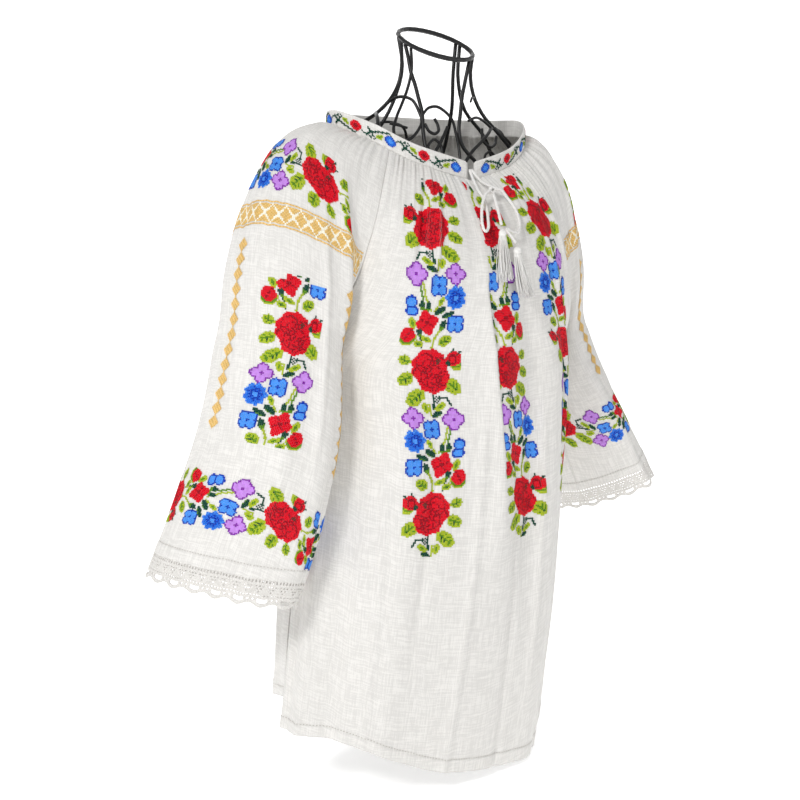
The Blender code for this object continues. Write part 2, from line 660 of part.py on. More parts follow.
def form_point(level, angle, inward=0.0):
    """Give a point of the form's section at an angle from the front, moved in by a distance."""
    half_width, front, back, side_z, front_z, back_z = level
    depth = front if np.cos(angle) > 0 else back
    end_z = front_z if np.cos(angle) > 0 else back_z
    share = np.cos(angle) ** 2
    height = side_z + (end_z - side_z) * share
    flow = ease((height - NECK_FLOW[0]) / NECK_FLOW[1])
    return np.array([(half_width - inward) * np.sin(angle) + NECK_RING_CENTRE[0] * flow,
                     -(depth - inward) * np.cos(angle) + NECK_RING_CENTRE[1] * flow, height])


def neck_ring(count, radius):
    """Give the neck ring: a circle tilted forward about its own width."""
    angle = np.arange(count) * 2 * np.pi / count
    x = radius * np.sin(angle)
    ahead = radius * np.cos(angle)
    y = -ahead * np.cos(NECK_RING_TILT)
    z = -ahead * np.sin(NECK_RING_TILT)
    return np.stack([x, y, z], axis=-1) + np.array(NECK_RING_CENTRE)


def build_form(finish):
    """Build the wire form: neck ring, ribs, three hoops and a flat base ring."""
    add_tube("form_neck_ring", neck_ring(24, NECK_RING_RADIUS), WIRE_RADIUS * 1.2, finish, 6, True)
    for number in range(RIB_COUNT):
        angle = (number + 0.5) * 2 * np.pi / RIB_COUNT
        angle = angle if angle < np.pi else angle - 2 * np.pi
        ring = neck_ring(720, NECK_RING_RADIUS)
        top = ring[int(round(np.degrees(angle) * 2)) % 720]
        levels = [form_point(level, angle) for level in FORM_LEVELS]
        levels[-1] = levels[-1] + np.array([*BASE_CENTRE, 0.0])
        levels[-1][2] = TABLE + BASE_TALL + WIRE_RADIUS * 0.9
        start = top + unit(levels[0] - top) * (WIRE_RADIUS * 2.2 + 0.0006)
        route = smooth_route([start] + levels, 18, 1.5)
        add_tube("form_rib_%d" % (number + 1), route, WIRE_RADIUS, finish, 5)
    inward = WIRE_RADIUS * 2 + 0.0008
    for name, index in (("bust", 6), ("waist", 7), ("hip", 8)):
        angles = np.arange(20) * 2 * np.pi / 20
        hoop = [form_point(FORM_LEVELS[index], angle, inward) for angle in angles]
        add_tube("form_hoop_" + name, hoop, WIRE_RADIUS, finish, 5, True)
    build_base(finish)


def build_base(finish):
    """Build the flat ring that stands on the table."""
    angle = np.arange(BASE_SIDES) * 2 * np.pi / BASE_SIDES
    half_width = FORM_LEVELS[-1, 0]
    depth = FORM_LEVELS[-1, 1]
    rings = []
    for grow, height in ((1, TABLE), (1, TABLE + BASE_TALL), (-1, TABLE + BASE_TALL), (-1, TABLE)):
        reach = grow * BASE_WIDE / 2
        rings.append(np.stack([BASE_CENTRE[0] + (half_width + reach) * np.sin(angle),
                               BASE_CENTRE[1] - (depth + reach) * np.cos(angle),
                               np.full(BASE_SIDES, height)], axis=-1))
    faces = []
    for ring in range(4):
        after = (ring + 1) % 4
        for step in range(BASE_SIDES):
            beside = (step + 1) % BASE_SIDES
            faces.append((ring * BASE_SIDES + step, ring * BASE_SIDES + beside,
                          after * BASE_SIDES + beside, after * BASE_SIDES + step))
    add_mesh("form_base_ring", np.concatenate(rings), faces, finish)


def build_tie(finish):
    """Build the drawstring's bow: two loops, the two knots, the drop and the two tassels."""
    add_cord("tie_loop_near", NEAR_LOOP, 20, finish)
    add_cord("tie_loop_far", FAR_LOOP, 20, finish)
    add_cord("tie_drop_near", DROP_PAIR, 6, finish)
    add_cord("tie_drop_far", FAR_DROP, 4, finish)
    add_knot("tie_knot_upper", UPPER_KNOT, KNOT_RADIUS, finish)
    add_tassel("tassel_near", NEAR_TASSEL, 0.003, finish)
    add_tassel("tassel_far", FAR_TASSEL, 0.012, finish)


def main():
    """Clear the scene and build every piece."""
    for old in list(bpy.data.objects):
        bpy.data.objects.remove(old)
    linen = material("linen", (0.86, 0.84, 0.80), 0.85)
    lace = material("cotton_lace", (0.90, 0.89, 0.86), 0.85)
    cord = material("cotton_cord", (0.92, 0.91, 0.89), 0.8)
    wire = material("black_wire", (0.012, 0.012, 0.013), 0.35, 0.6)
    seams = build_panels(linen)
    build_collar(linen)
    right = build_sleeve("sleeve_right", RIGHT_SLEEVE, -1.0, RIGHT_REACH, seams, linen)
    left = build_sleeve("sleeve_left", LEFT_SLEEVE, 1.0, LEFT_REACH, seams, linen)
    build_lace("lace_right", right, lace)
    build_lace("lace_left", left, lace)
    build_tie(cord)
    build_form(wire)


main()
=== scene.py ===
"""Romanian ie blouse on a black wire dress form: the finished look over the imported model.

+Z is up, the front faces -Y and the wearer's left is +X. Every cut piece of cloth is a surface read
from a coarse net of named sizes, the same net that the solids follow, with gathers, folds and creases
raised along its normal. The needlework is laid on those surfaces stitch by stitch.
"""
import bmesh
import bpy
import numpy as np
from math import radians
from mathutils import Matrix, Vector


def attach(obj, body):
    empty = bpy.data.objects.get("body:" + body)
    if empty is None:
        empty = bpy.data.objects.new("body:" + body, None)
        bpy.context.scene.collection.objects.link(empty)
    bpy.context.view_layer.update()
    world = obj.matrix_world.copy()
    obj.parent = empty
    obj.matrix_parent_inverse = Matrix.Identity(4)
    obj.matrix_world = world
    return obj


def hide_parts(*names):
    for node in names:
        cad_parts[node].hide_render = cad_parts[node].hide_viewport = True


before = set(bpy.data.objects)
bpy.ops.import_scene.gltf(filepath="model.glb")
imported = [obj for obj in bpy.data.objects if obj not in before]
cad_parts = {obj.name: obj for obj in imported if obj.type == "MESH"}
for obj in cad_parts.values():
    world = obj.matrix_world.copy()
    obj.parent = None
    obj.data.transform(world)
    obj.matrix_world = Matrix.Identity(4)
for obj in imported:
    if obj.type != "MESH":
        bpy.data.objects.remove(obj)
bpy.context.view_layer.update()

# Shift that brings the drawn model onto the frame's origin, as in the part's source
PLACE = np.array([-0.011, 0.011, -0.014])

# Camera, from the photograph's perspective
CAMERA_TURN = radians(36.1)
CAMERA_DOWN = radians(7.8)
CAMERA_ROLL = radians(-0.66)
CAMERA_DISTANCE = 1.2936
CAMERA_HEIGHT = 0.568
CAMERA_ASIDE = 0.02625
CAMERA_LENS = 55.44


def eye_point():
    """Give the camera's place before the model is shifted onto the frame's origin."""
    back = np.array([-np.sin(CAMERA_TURN), -np.cos(CAMERA_TURN), 0.0]) * CAMERA_DISTANCE
    aside = np.array([np.cos(CAMERA_TURN), -np.sin(CAMERA_TURN), 0.0]) * -CAMERA_ASIDE
    return back + aside + np.array([0.0, 0.0, CAMERA_HEIGHT])


def place_camera():
    """Put the camera at the photograph's viewing angle."""
    data = bpy.data.cameras.new("camera")
    data.lens = CAMERA_LENS
    data.sensor_width = 36.0
    camera = bpy.data.objects.new("camera", data)
    bpy.context.scene.collection.objects.link(camera)
    look = (Matrix.Rotation(-CAMERA_TURN, 4, "Z") @ Matrix.Rotation(radians(90) - CAMERA_DOWN, 4, "X")
            @ Matrix.Rotation(CAMERA_ROLL, 4, "Z"))
    camera.matrix_world = Matrix.Translation(Vector(eye_point() + PLACE)) @ look
    bpy.context.scene.camera = camera


# Reading tables and nets

def cubic(part, step, first, second, leave, arrive):
    """Join two values by a cubic that leaves and arrives with given slopes."""
    return ((1 + 2 * part) * (1 - part) ** 2 * first + part * (1 - part) ** 2 * step * leave
            + part ** 2 * (3 - 2 * part) * second - part ** 2 * (1 - part) * step * arrive)


def through(table, at):
    """Read a table at any place along its first column, by cubics that never pass beyond its rows."""
    at = np.atleast_1d(np.asarray(at, float))
    place, values = table[:, 0], table[:, 1:]
    steps = np.diff(values, axis=0) / np.diff(place)[:, None]
    product = steps[:-1] * steps[1:]
    inner = np.where(product > 0, 2 * product / np.where(product > 0, steps[:-1] + steps[1:], 1.0), 0.0)
    slope = np.concatenate([steps[:1], inner, steps[-1:]])
    return between(place, values, slope, at)


def curve_through(place, values, at):
    """Read a free curve through rows of values, with the mean slope at each row."""
    return between(place, values, np.gradient(values, place, axis=0), np.asarray(at, float))


def between(place, values, slope, at):
    """Read values at places between rows, from the rows' values and slopes."""
    row = np.clip(np.searchsorted(place, at, side="right") - 1, 0, len(place) - 2)
    step = (place[row + 1] - place[row])[:, None]
    part = np.clip((at[:, None] - place[row][:, None]) / step, 0.0, 1.0)
    return cubic(part, step, values[row], values[row + 1], slope[row], slope[row + 1])


def finer(net, rows, columns, down, across):
    """Read a coarse net of points at finer places, by cubics along its rows and then its columns."""
    count = net.shape[1]
    lines = curve_through(np.asarray(rows), net.reshape(len(rows), -1), down).reshape(len(down), count, 3)
    turned = lines.transpose(1, 0, 2).reshape(count, -1)
    full = curve_through(np.asarray(columns), turned, across).reshape(len(across), len(down), 3)
    return full.transpose(1, 0, 2)


def ease(values):
    """Go from 0 to 1 with a level start and end."""
    part = np.clip(values, 0.0, 1.0)
    return part * part * (3 - 2 * part)


def unit(vectors):
    """Scale vectors to length one."""
    return vectors / np.maximum(np.linalg.norm(vectors, axis=-1, keepdims=True), 1e-9)


def grid_normals(grid):
    """Give the direction across times down at each point of a grid."""
    return unit(np.cross(np.gradient(grid, axis=1), np.gradient(grid, axis=0)))


# Sizes shared with the part's source

COLLAR_HALF_WIDTH = 0.115
COLLAR_HALF_DEPTH = 0.066
COLLAR_CENTRE_Y = -0.011
COLLAR_TALL = 0.0175
COLLAR_THICK = 0.0020
COLLAR_SPLIT = radians(2.2)
FRONT_SEAM_ANGLE = 46.0
BACK_SEAM_ANGLE = 130.0
COLLAR_HEIGHT = np.array([(0.0, 0.625), (30.0, 0.641), (60.0, 0.664), (90.0, 0.676),
                          (130.0, 0.678), (180.0, 0.680)])
SEAM_FRACTION = 0.36
LEVEL_ROW = 0.50
LEVEL_HEIGHT = 0.35
FRONT_SHIFT = -0.036
BACK_SHIFT = -0.018

# down, centre y, centre z, edge x, edge y, edge z, arc of the row in degrees
FRONT_ROWS = np.array([
    (0.00, -0.0770, 0.6155, 0.0827, -0.0568, 0.6458, 48.0),
    (0.05, -0.1000, 0.5980, 0.1000, -0.0720, 0.6180, 52.0),
    (0.12, -0.1220, 0.5650, 0.1150, -0.0800, 0.5830, 58.0),
    (0.20, -0.1335, 0.5220, 0.1280, -0.0760, 0.5400, 64.0),
    (0.28, -0.1325, 0.4800, 0.1450, -0.0560, 0.4900, 73.0),
    (0.36, -0.1300, 0.4400, 0.1600, -0.0100, 0.4470, 88.0),
    (0.50, -0.1280, 0.3500, 0.1590, -0.0095, 0.3500, 90.0),
    (0.66, -0.1270, 0.2500, 0.1620, -0.0095, 0.2500, 90.0),
    (0.80, -0.1240, 0.1600, 0.1620, -0.0120, 0.1600, 90.0),
    (1.00, -0.1180, 0.0400, 0.1600, -0.0160, 0.0400, 90.0),
])
BACK_ROWS = np.array([
    (0.00, 0.0550, 0.6705, 0.0881, 0.0314, 0.6687, 50.0),
    (0.05, 0.0780, 0.6550, 0.1080, 0.0440, 0.6420, 56.0),
    (0.12, 0.0950, 0.6250, 0.1260, 0.0410, 0.6020, 66.0),
    (0.20, 0.1060, 0.5800, 0.1400, 0.0340, 0.5530, 74.0),
    (0.28, 0.1100, 0.5200, 0.1520, 0.0160, 0.4980, 82.0),
    (0.36, 0.1080, 0.4500, 0.1600, -0.0090, 0.4470, 88.0),
    (0.50, 0.1040, 0.3500, 0.1590, -0.0085, 0.3500, 90.0),
    (0.66, 0.1030, 0.2500, 0.1620, -0.0085, 0.2500, 90.0),
    (0.80, 0.1030, 0.1600, 0.1640, -0.0020, 0.1600, 90.0),
    (1.00, 0.1020, 0.0400, 0.1610, 0.0040, 0.0400, 90.0),
])
FRONT_HEM = np.array([(-90.0, 0.083), (-62.0, 0.081), (-45.0, 0.073), (-30.0, 0.056), (-15.0, 0.039),
                      (0.0, 0.029), (20.0, 0.021), (45.0, 0.018), (70.0, 0.026), (90.0, 0.044)])
BACK_HEM = np.array([(-90.0, 0.104), (-50.0, 0.088), (0.0, 0.062), (50.0, 0.056), (90.0, 0.068)])

# down, out from the middle, y, z, half width, half depth, turn of the face to the front, lean outward
RIGHT_SLEEVE = np.array([
    (0.00, 0.1930, -0.0290, 0.4800, 0.0600, 0.0400, 35.0, 10.0),
    (0.40, 0.2070, -0.0260, 0.3820, 0.0680, 0.0360, 37.0, 13.0),
    (0.64, 0.2190, -0.0180, 0.3290, 0.0720, 0.0340, 36.0, 13.0),
    (1.00, 0.2410, -0.0010, 0.2500, 0.0770, 0.0320, 34.0, 12.0),
])
LEFT_SLEEVE = np.array([
    (0.00, 0.1720, 0.0020, 0.4800, 0.0520, 0.0360, 5.0, 12.0),
    (0.40, 0.2000, 0.0060, 0.3900, 0.0610, 0.0360, -14.0, 22.0),
    (0.64, 0.2290, 0.0110, 0.3420, 0.0650, 0.0340, -20.0, 28.0),
    (1.00, 0.2640, 0.0180, 0.2800, 0.0700, 0.0330, -22.0, 32.0),
])
RIGHT_REACH = 0.215
LEFT_REACH = 0.160
SHOULDER_RISE = 0.34
SHOULDER_FALL = 0.230
BODY_OVAL = np.array([(0.200, 0.164, 0.118), (0.350, 0.162, 0.121), (0.447, 0.162, 0.124),
                      (0.490, 0.157, 0.126), (0.540, 0.152, 0.126), (0.583, 0.147, 0.116),
                      (0.620, 0.139, 0.096)])
BODY_MIDDLE_Y = -0.010
BODY_CLEARANCE = 0.007
ARMPIT_CLEARANCE = 0.0020
SOFTEN_TIMES = 3

CAP_PLACES = np.array([0.0, 0.08, 0.18, 0.31, 0.47, 0.64, 0.82, 1.0])
LOW_PLACES = np.array([0.47, 0.60, 0.73, 0.87, 0.976, 1.0])
TUBE_PLACES = np.array([0.0, 0.15, 0.32, 0.50, 0.68, 0.84, 0.937, 1.0])
PANEL_DOWN = np.concatenate([CAP_PLACES * SEAM_FRACTION, LOW_PLACES])
SLEEVE_DOWN = np.concatenate([CAP_PLACES * 0.4, 0.4 + 0.6 * TUBE_PLACES[1:]])
PANEL_COLUMNS = np.linspace(-1.0, 1.0, 41)
SLEEVE_COLUMNS = np.linspace(0.0, 1.0, 31)


# The nets

def collar_point(angle, up):
    """Give points of the oval collar line at angles from the front, a distance above its middle."""
    turn = np.abs((np.degrees(angle) + 180.0) % 360.0 - 180.0)
    height = through(COLLAR_HEIGHT, turn)[:, 0]
    return np.stack([COLLAR_HALF_WIDTH * np.sin(angle),
                     COLLAR_CENTRE_Y - COLLAR_HALF_DEPTH * np.cos(angle), height + up], axis=-1)


def panel_net(table, hem, shift, neck):
    """Work out a panel's net: each row is an oval arc from edge to edge through its centre point.

    x is the edge's x times the sine of the turn over the sine of the arc, and y and z go from edge to
    centre by the cosine of the turn. The rows below the waist reach down evenly to the hem's height.
    """
    down = PANEL_DOWN[:, None]
    centre_y, centre_z, edge_x, edge_y, edge_z, arc = through(table, down[:, 0]).T[:, :, None]
    across = PANEL_COLUMNS[None, :]
    arc = np.radians(arc)
    turn = across * arc
    share = (np.cos(turn) - np.cos(arc)) / (1 - np.cos(arc))
    low = np.clip((down - LEVEL_ROW) / (1 - LEVEL_ROW), 0.0, 1.0)
    x = edge_x * np.sin(turn) / np.sin(arc) + shift * low ** 1.5
    y = edge_y + (centre_y - edge_y) * share
    z = edge_z + (centre_z - edge_z) * share
    hem_height = through(hem, across[0] * 90.0)[:, 0]
    z = np.where(down > LEVEL_ROW, LEVEL_HEIGHT + (hem_height[None, :] - LEVEL_HEIGHT) * low, z)
    net = np.stack([x, y, z], axis=-1)
    angle = np.radians(neck[0] + (neck[1] - neck[0]) * (across[0] + 1) / 2)
    top = collar_point(angle, -COLLAR_TALL / 2 + 0.001)
    return net + (1 - ease(down / 0.10))[..., None] * (top - net[0])[None]


def sleeve_ring(row, around):
    """Give one ring of the sleeve: a flat oval, turned to the front and leaning outward."""
    out, y, z, half_width, half_depth, face, lean = row
    face = np.radians(face)
    angle = around * 2 * np.pi
    forward = half_width * np.sin(angle)
    outward = -half_depth * np.cos(angle)
    away = outward * np.cos(face) - forward * np.sin(face)
    ahead = outward * np.sin(face) + forward * np.cos(face)
    return np.stack([out + away, y - ahead, z + np.tan(np.radians(lean)) * away], axis=-1)


def sleeve_net(table, reach, front, back):
    """Work out a sleeve's net on the wearer's left: lines from the collar to the armpit's ring, then rings.

    Each line is a cubic that leaves the collar outward and arrives downward, and the two edges are
    drawn onto the raglan seams by a share that falls with the square of the distance from them.
    """
    around = SLEEVE_COLUMNS
    angle = np.radians(FRONT_SEAM_ANGLE + (BACK_SEAM_ANGLE - FRONT_SEAM_ANGLE) * around)
    start = collar_point(angle, -COLLAR_TALL / 2 + 0.001)
    end = sleeve_ring(through(table, 0.0)[0], around)
    leave = np.stack([np.sin(angle), -0.55 * np.cos(angle), np.full(len(around), SHOULDER_RISE)], axis=-1)
    arrive = np.array([0.02, -0.01, -1.0]) * SHOULDER_FALL
    lines = cubic(CAP_PLACES[:, None, None], 1.0, start, end, leave * reach, arrive)
    to_front = (np.clip(1 - around / 0.45, 0, 1) ** 2)[None, :, None]
    to_back = (np.clip((around - 0.55) / 0.45, 0, 1) ** 2)[None, :, None]
    lines = lines + to_front * (front[:, None] - lines[:, :1]) + to_back * (back[:, None] - lines[:, -1:])
    rings = np.array([sleeve_ring(row, around) for row in through(table, TUBE_PLACES)])
    settle = np.clip(1 - TUBE_PLACES / 0.35, 0, 1) ** 2
    rings = rings + (lines[-1] - rings[0])[None] * settle[:, None, None]
    net = clear_of_body(np.concatenate([lines, rings[1:]]), around)
    for _ in range(SOFTEN_TIMES):
        net[1:, 1:-1] = (net[1:, :-2] + 2 * net[1:, 1:-1] + net[1:, 2:]) / 4
    return net


def clear_of_body(net, around):
    """Push the sleeve's inner side out of the body's oval, less so at the raglan seams."""
    moved = net.copy()
    width, depth = through(BODY_OVAL, net[..., 2].ravel()).T.reshape(2, *net.shape[:2])
    inner = ease(np.minimum(around, 1 - around) / 0.10)[None, :]
    low = ease((CAP_PLACES - 0.5) / 0.5) * ARMPIT_CLEARANCE / BODY_CLEARANCE
    edge = np.concatenate([low, np.ones(len(net) - len(CAP_PLACES))])[:, None]
    loose = BODY_CLEARANCE * (edge + (1 - edge) * inner)
    ahead = net[..., 1] - BODY_MIDDLE_Y
    reach = np.sqrt((net[..., 0] / (width + loose)) ** 2 + (ahead / (depth + loose)) ** 2)
    near = (net[..., 2] < BODY_OVAL[-2, 0]) & (loose > 0)
    scale = np.where(near, np.maximum(1.0, 1.0 / np.maximum(reach, 0.3)), 1.0)
    moved[..., 0] = net[..., 0] * scale
    moved[..., 1] = ahead * scale + BODY_MIDDLE_Y
    return moved


# Folds and gathers

def bells(folds, across, down):
    """Add up folds: each is a bell across the cloth that rises after its first row and fades to its last.

    A fold's row is its place at the top, its drift to the bottom, half width, height, first and last row.
    """
    height = np.zeros((down.shape[0], across.shape[1]))
    for place, drift, width, tall, first, last in folds:
        line = place + drift * (down - first)
        bell = np.exp(-((across - line) / width) ** 2)
        rise = ease((down - first) / 0.12 + 0.15)
        fade = ease((last - down) / 0.18 + (1.0 if last >= 1.0 else 0.0))
        height = height + tall * bell * rise * fade
    return height


def gathers(across, down, count, seed, tall, longest):
    """Add up small gathers below the band: ridges with seeded places, heights and lengths."""
    draw = np.random.default_rng(seed)
    low, high = across.min(), across.max()
    height = np.zeros((down.shape[0], across.shape[1]))
    for place in low + (np.arange(count) + 0.5) / count * (high - low):
        place = place + draw.normal(0, 0.12) * (high - low) / count
        width = (high - low) / count * draw.uniform(0.26, 0.42)
        reach = longest * draw.uniform(0.35, 1.0)
        spread = 1 + 1.6 * down / longest
        bell = np.exp(-((across - place) / (width * spread)) ** 2)
        height = height + tall * draw.uniform(0.5, 1.25) * bell * (1 - ease(down / reach))
    return (height - 0.45 * tall * (1 - ease(down / longest))) * ease(down / 0.012 + 0.25)


def cockle(across, down, seed, tall):
    """Give the slight unevenness of hand-woven linen: a few slow waves with seeded turns."""
    draw = np.random.default_rng(seed)
    height = np.zeros((down.shape[0], across.shape[1]))
    for _ in range(9):
        along, aside = draw.uniform(2, 11, 2)
        height = height + np.sin(along * down * 2 + aside * across + draw.uniform(0, 6.28)) / 9
    return tall * height


# Edge of the fold that lies over part of the inner left band, as (down, across)
FRONT_FOLD_EDGE = np.array([(0.0, -0.20), (0.10, -0.165), (0.22, -0.150), (0.33, -0.078), (0.45, -0.044),
                            (0.52, -0.022), (0.56, -0.010), (1.0, 0.060)])


def pleat(across, down):
    """Raise the cloth on one side of the centre fold and drop it sharply past the fold's edge."""
    line = np.interp(down, FRONT_FOLD_EDGE[:, 0], FRONT_FOLD_EDGE[:, 1])
    past = across - line
    rise = np.where(past < 0, np.exp(past / 0.075), np.clip(1 - past / 0.018, 0.0, 1.0))
    dip = -0.35 * np.exp(-((past - 0.07) / 0.05) ** 2)
    return 0.0065 * (rise + dip) * ease((down - 0.10) / 0.14) * (1 - ease((down - 0.30) / 0.38))


def calm_under_tie(across, down):
    """Give the share of fold height that is left where the cords and tassels lie on the cloth."""
    aside = np.exp(-((across + 0.04) / 0.24) ** 4)
    return 1 - 0.85 * aside * (1 - ease((down - 0.17) / 0.12)) * ease(down / 0.03)


# place, drift, half width, height, first row, last row
FRONT_FOLDS = (
    (-0.02, 0.02, 0.060, 0.0075, 0.22, 0.75), (0.17, 0.02, 0.070, -0.0075, 0.12, 0.80),
    (0.33, 0.00, 0.090, 0.0060, 0.30, 1.00), (-0.22, 0.00, 0.070, -0.0053, 0.00, 0.30),
    (-0.42, 0.00, 0.080, 0.0060, 0.35, 1.00), (-0.68, 0.00, 0.080, -0.0075, 0.30, 1.00),
    (0.62, 0.00, 0.080, -0.0060, 0.45, 1.00), (0.84, 0.00, 0.060, 0.0060, 0.50, 1.00),
    (-0.10, -0.06, 0.022, 0.0033, 0.40, 1.00), (0.08, 0.10, 0.020, -0.0027, 0.45, 1.00),
    (-0.52, 0.05, 0.020, 0.0030, 0.50, 1.00), (-0.30, -0.10, 0.018, -0.0024, 0.42, 0.90),
    (0.24, 0.05, 0.018, 0.0030, 0.40, 0.95), (0.46, -0.04, 0.020, -0.0027, 0.30, 1.00),
    (0.50, 0.00, 0.024, 0.0036, 0.10, 0.60), (-0.48, -0.20, 0.022, 0.0045, 0.03, 0.30),
    (-0.60, -0.22, 0.020, -0.0045, 0.02, 0.26), (0.72, 0.10, 0.022, 0.0045, 0.05, 0.40),
    (-0.84, 0.00, 0.030, 0.0045, 0.40, 1.00), (-0.94, 0.00, 0.024, -0.0030, 0.45, 1.00),
)
BACK_FOLDS = (
    (-0.62, 0.00, 0.090, 0.0065, 0.20, 1.00), (-0.30, 0.00, 0.080, -0.0065, 0.35, 1.00),
    (0.05, 0.00, 0.090, 0.0078, 0.10, 1.00), (0.34, 0.00, 0.080, -0.0065, 0.30, 1.00),
    (0.66, 0.00, 0.090, 0.0065, 0.40, 1.00), (-0.46, 0.06, 0.024, 0.0031, 0.45, 1.00),
    (-0.12, -0.05, 0.022, -0.0029, 0.30, 1.00), (0.20, 0.05, 0.022, 0.0031, 0.40, 1.00),
    (0.50, -0.04, 0.024, 0.0029, 0.30, 1.00), (0.84, 0.00, 0.030, 0.0039, 0.45, 1.00),
    (-0.84, 0.00, 0.030, 0.0036, 0.45, 1.00),
)
RIGHT_FOLDS = (
    (0.20, 0.00, 0.040, 0.0054, 0.10, 1.00), (0.36, 0.00, 0.045, -0.0041, 0.30, 0.90),
    (0.62, 0.00, 0.050, -0.0041, 0.15, 0.85), (0.80, 0.00, 0.045, 0.0061, 0.25, 1.00),
    (0.30, 0.06, 0.014, 0.0027, 0.20, 0.80), (0.45, 0.05, 0.014, -0.0022, 0.35, 1.00),
    (0.54, -0.05, 0.016, 0.0024, 0.20, 0.75), (0.70, 0.03, 0.013, 0.0024, 0.35, 1.00),
    (0.24, -0.02, 0.012, -0.0024, 0.55, 1.00), (0.41, 0.02, 0.012, 0.0019, 0.60, 1.00),
)
LEFT_FOLDS = RIGHT_FOLDS

CLOTH_THICK = 0.0007
HEM_EXTRA = 0.0006


def cloth_grid(net, rows, columns, down, across, folds, small, outward, calm=1.0):
    """Read a cut piece's surface from its net and raise its folds along the normal."""
    grid = finer(net, rows, columns, down, across)
    height = (bells(folds, across[None, :], down[:, None]) + small) * calm
    return grid + grid_normals(grid) * outward * height[..., None]


# Meshes

def to_linear(code):
    """Turn an sRGB hex colour into linear red, green and blue."""
    values = np.array([int(code[i:i + 2], 16) / 255 for i in (0, 2, 4)])
    return np.where(values <= 0.04045, values / 12.92, ((values + 0.055) / 1.055) ** 2.4)


def add_piece(name, points, faces, finish, smooth=True):
    """Make a mesh piece at the origin from points and faces, riding on the one body."""
    mesh = bpy.data.meshes.new(name)
    mesh.from_pydata((np.asarray(points).reshape(-1, 3) + PLACE).tolist(), [], np.asarray(faces).tolist()
                     if isinstance(faces, np.ndarray) else faces)
    mesh.update()
    if smooth:
        mesh.shade_smooth()
    mesh.materials.append(finish)
    piece = bpy.data.objects.new(name, mesh)
    bpy.context.scene.collection.objects.link(piece)
    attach(piece, "root")
    return piece


def grid_faces(rows, columns, kept=None, turned=False, closed=False):
    """List the four-sided faces of a grid of points, leaving out the cells that aren't kept."""
    number = np.arange(rows * columns).reshape(rows, columns)
    if closed:
        number = np.concatenate([number, number[:, :1]], axis=1)
    faces = np.stack([number[:-1, :-1], number[:-1, 1:], number[1:, 1:], number[1:, :-1]], axis=-1)
    if turned:
        faces = faces[..., ::-1]
    return faces[kept] if kept is not None else faces.reshape(-1, 4)


def lay_map(piece, u, v):
    """Give a grid piece a map of real metres: u across and v down the flat cut."""
    layer = piece.data.uv_layers.new(name="flat")
    index = np.empty(len(piece.data.loops), np.int32)
    piece.data.loops.foreach_get("vertex_index", index)
    both = np.stack([u.ravel(), v.ravel()], axis=-1)[index]
    layer.data.foreach_set("uv", both.astype(np.float32).ravel())


def flat_lengths(grid, width):
    """Measure the flat cut: u is the share of its width, v the mean length down to each row."""
    steps = np.linalg.norm(np.diff(grid, axis=0), axis=-1)
    down = np.concatenate([np.zeros((1, grid.shape[1])), np.cumsum(steps, axis=0)])
    u = np.linspace(0.0, width, grid.shape[1])[None, :] + 0 * down
    return u, down


def add_cloth(name, grid, outward, finish, thickness=CLOTH_THICK):
    """Make a sheet from its outer surface, with its thickness laid inward by a Solidify."""
    turned = outward < 0
    piece = add_piece(name, grid, grid_faces(*grid.shape[:2], turned=turned), finish)
    solid = piece.modifiers.new("thickness", "SOLIDIFY")
    solid.thickness = thickness
    solid.offset = -1.0
    solid.use_even_offset = False
    return piece


# Finishes

def add_node(tree, kind, links=(), **settings):
    """Add a shader node with its settings, and link (socket, source) pairs into it."""
    node = tree.nodes.new(kind)
    for name, value in settings.items():
        if hasattr(node, name):
            setattr(node, name, value)
        else:
            node.inputs[name.replace("_", " ")].default_value = value
    for socket, source in links:
        tree.links.new(source, node.inputs[socket])
    return node


def new_finish(name, colour, roughness, metallic=0.0, sheen=0.0):
    """Make a material with a Principled shader and give it back with its tree and shader."""
    finish = bpy.data.materials.new(name)
    finish.use_nodes = True
    tree = finish.node_tree
    shader = tree.nodes["Principled BSDF"]
    shader.inputs["Base Color"].default_value = (*to_linear(colour), 1.0)
    shader.inputs["Roughness"].default_value = roughness
    shader.inputs["Metallic"].default_value = metallic
    shader.inputs["Sheen Weight"].default_value = sheen
    shader.inputs["Sheen Roughness"].default_value = 0.5
    return finish, tree, shader


# Real threads lie 0.5 mm apart, too fine to show here, so they are drawn three times as coarse
THREAD = 0.0015


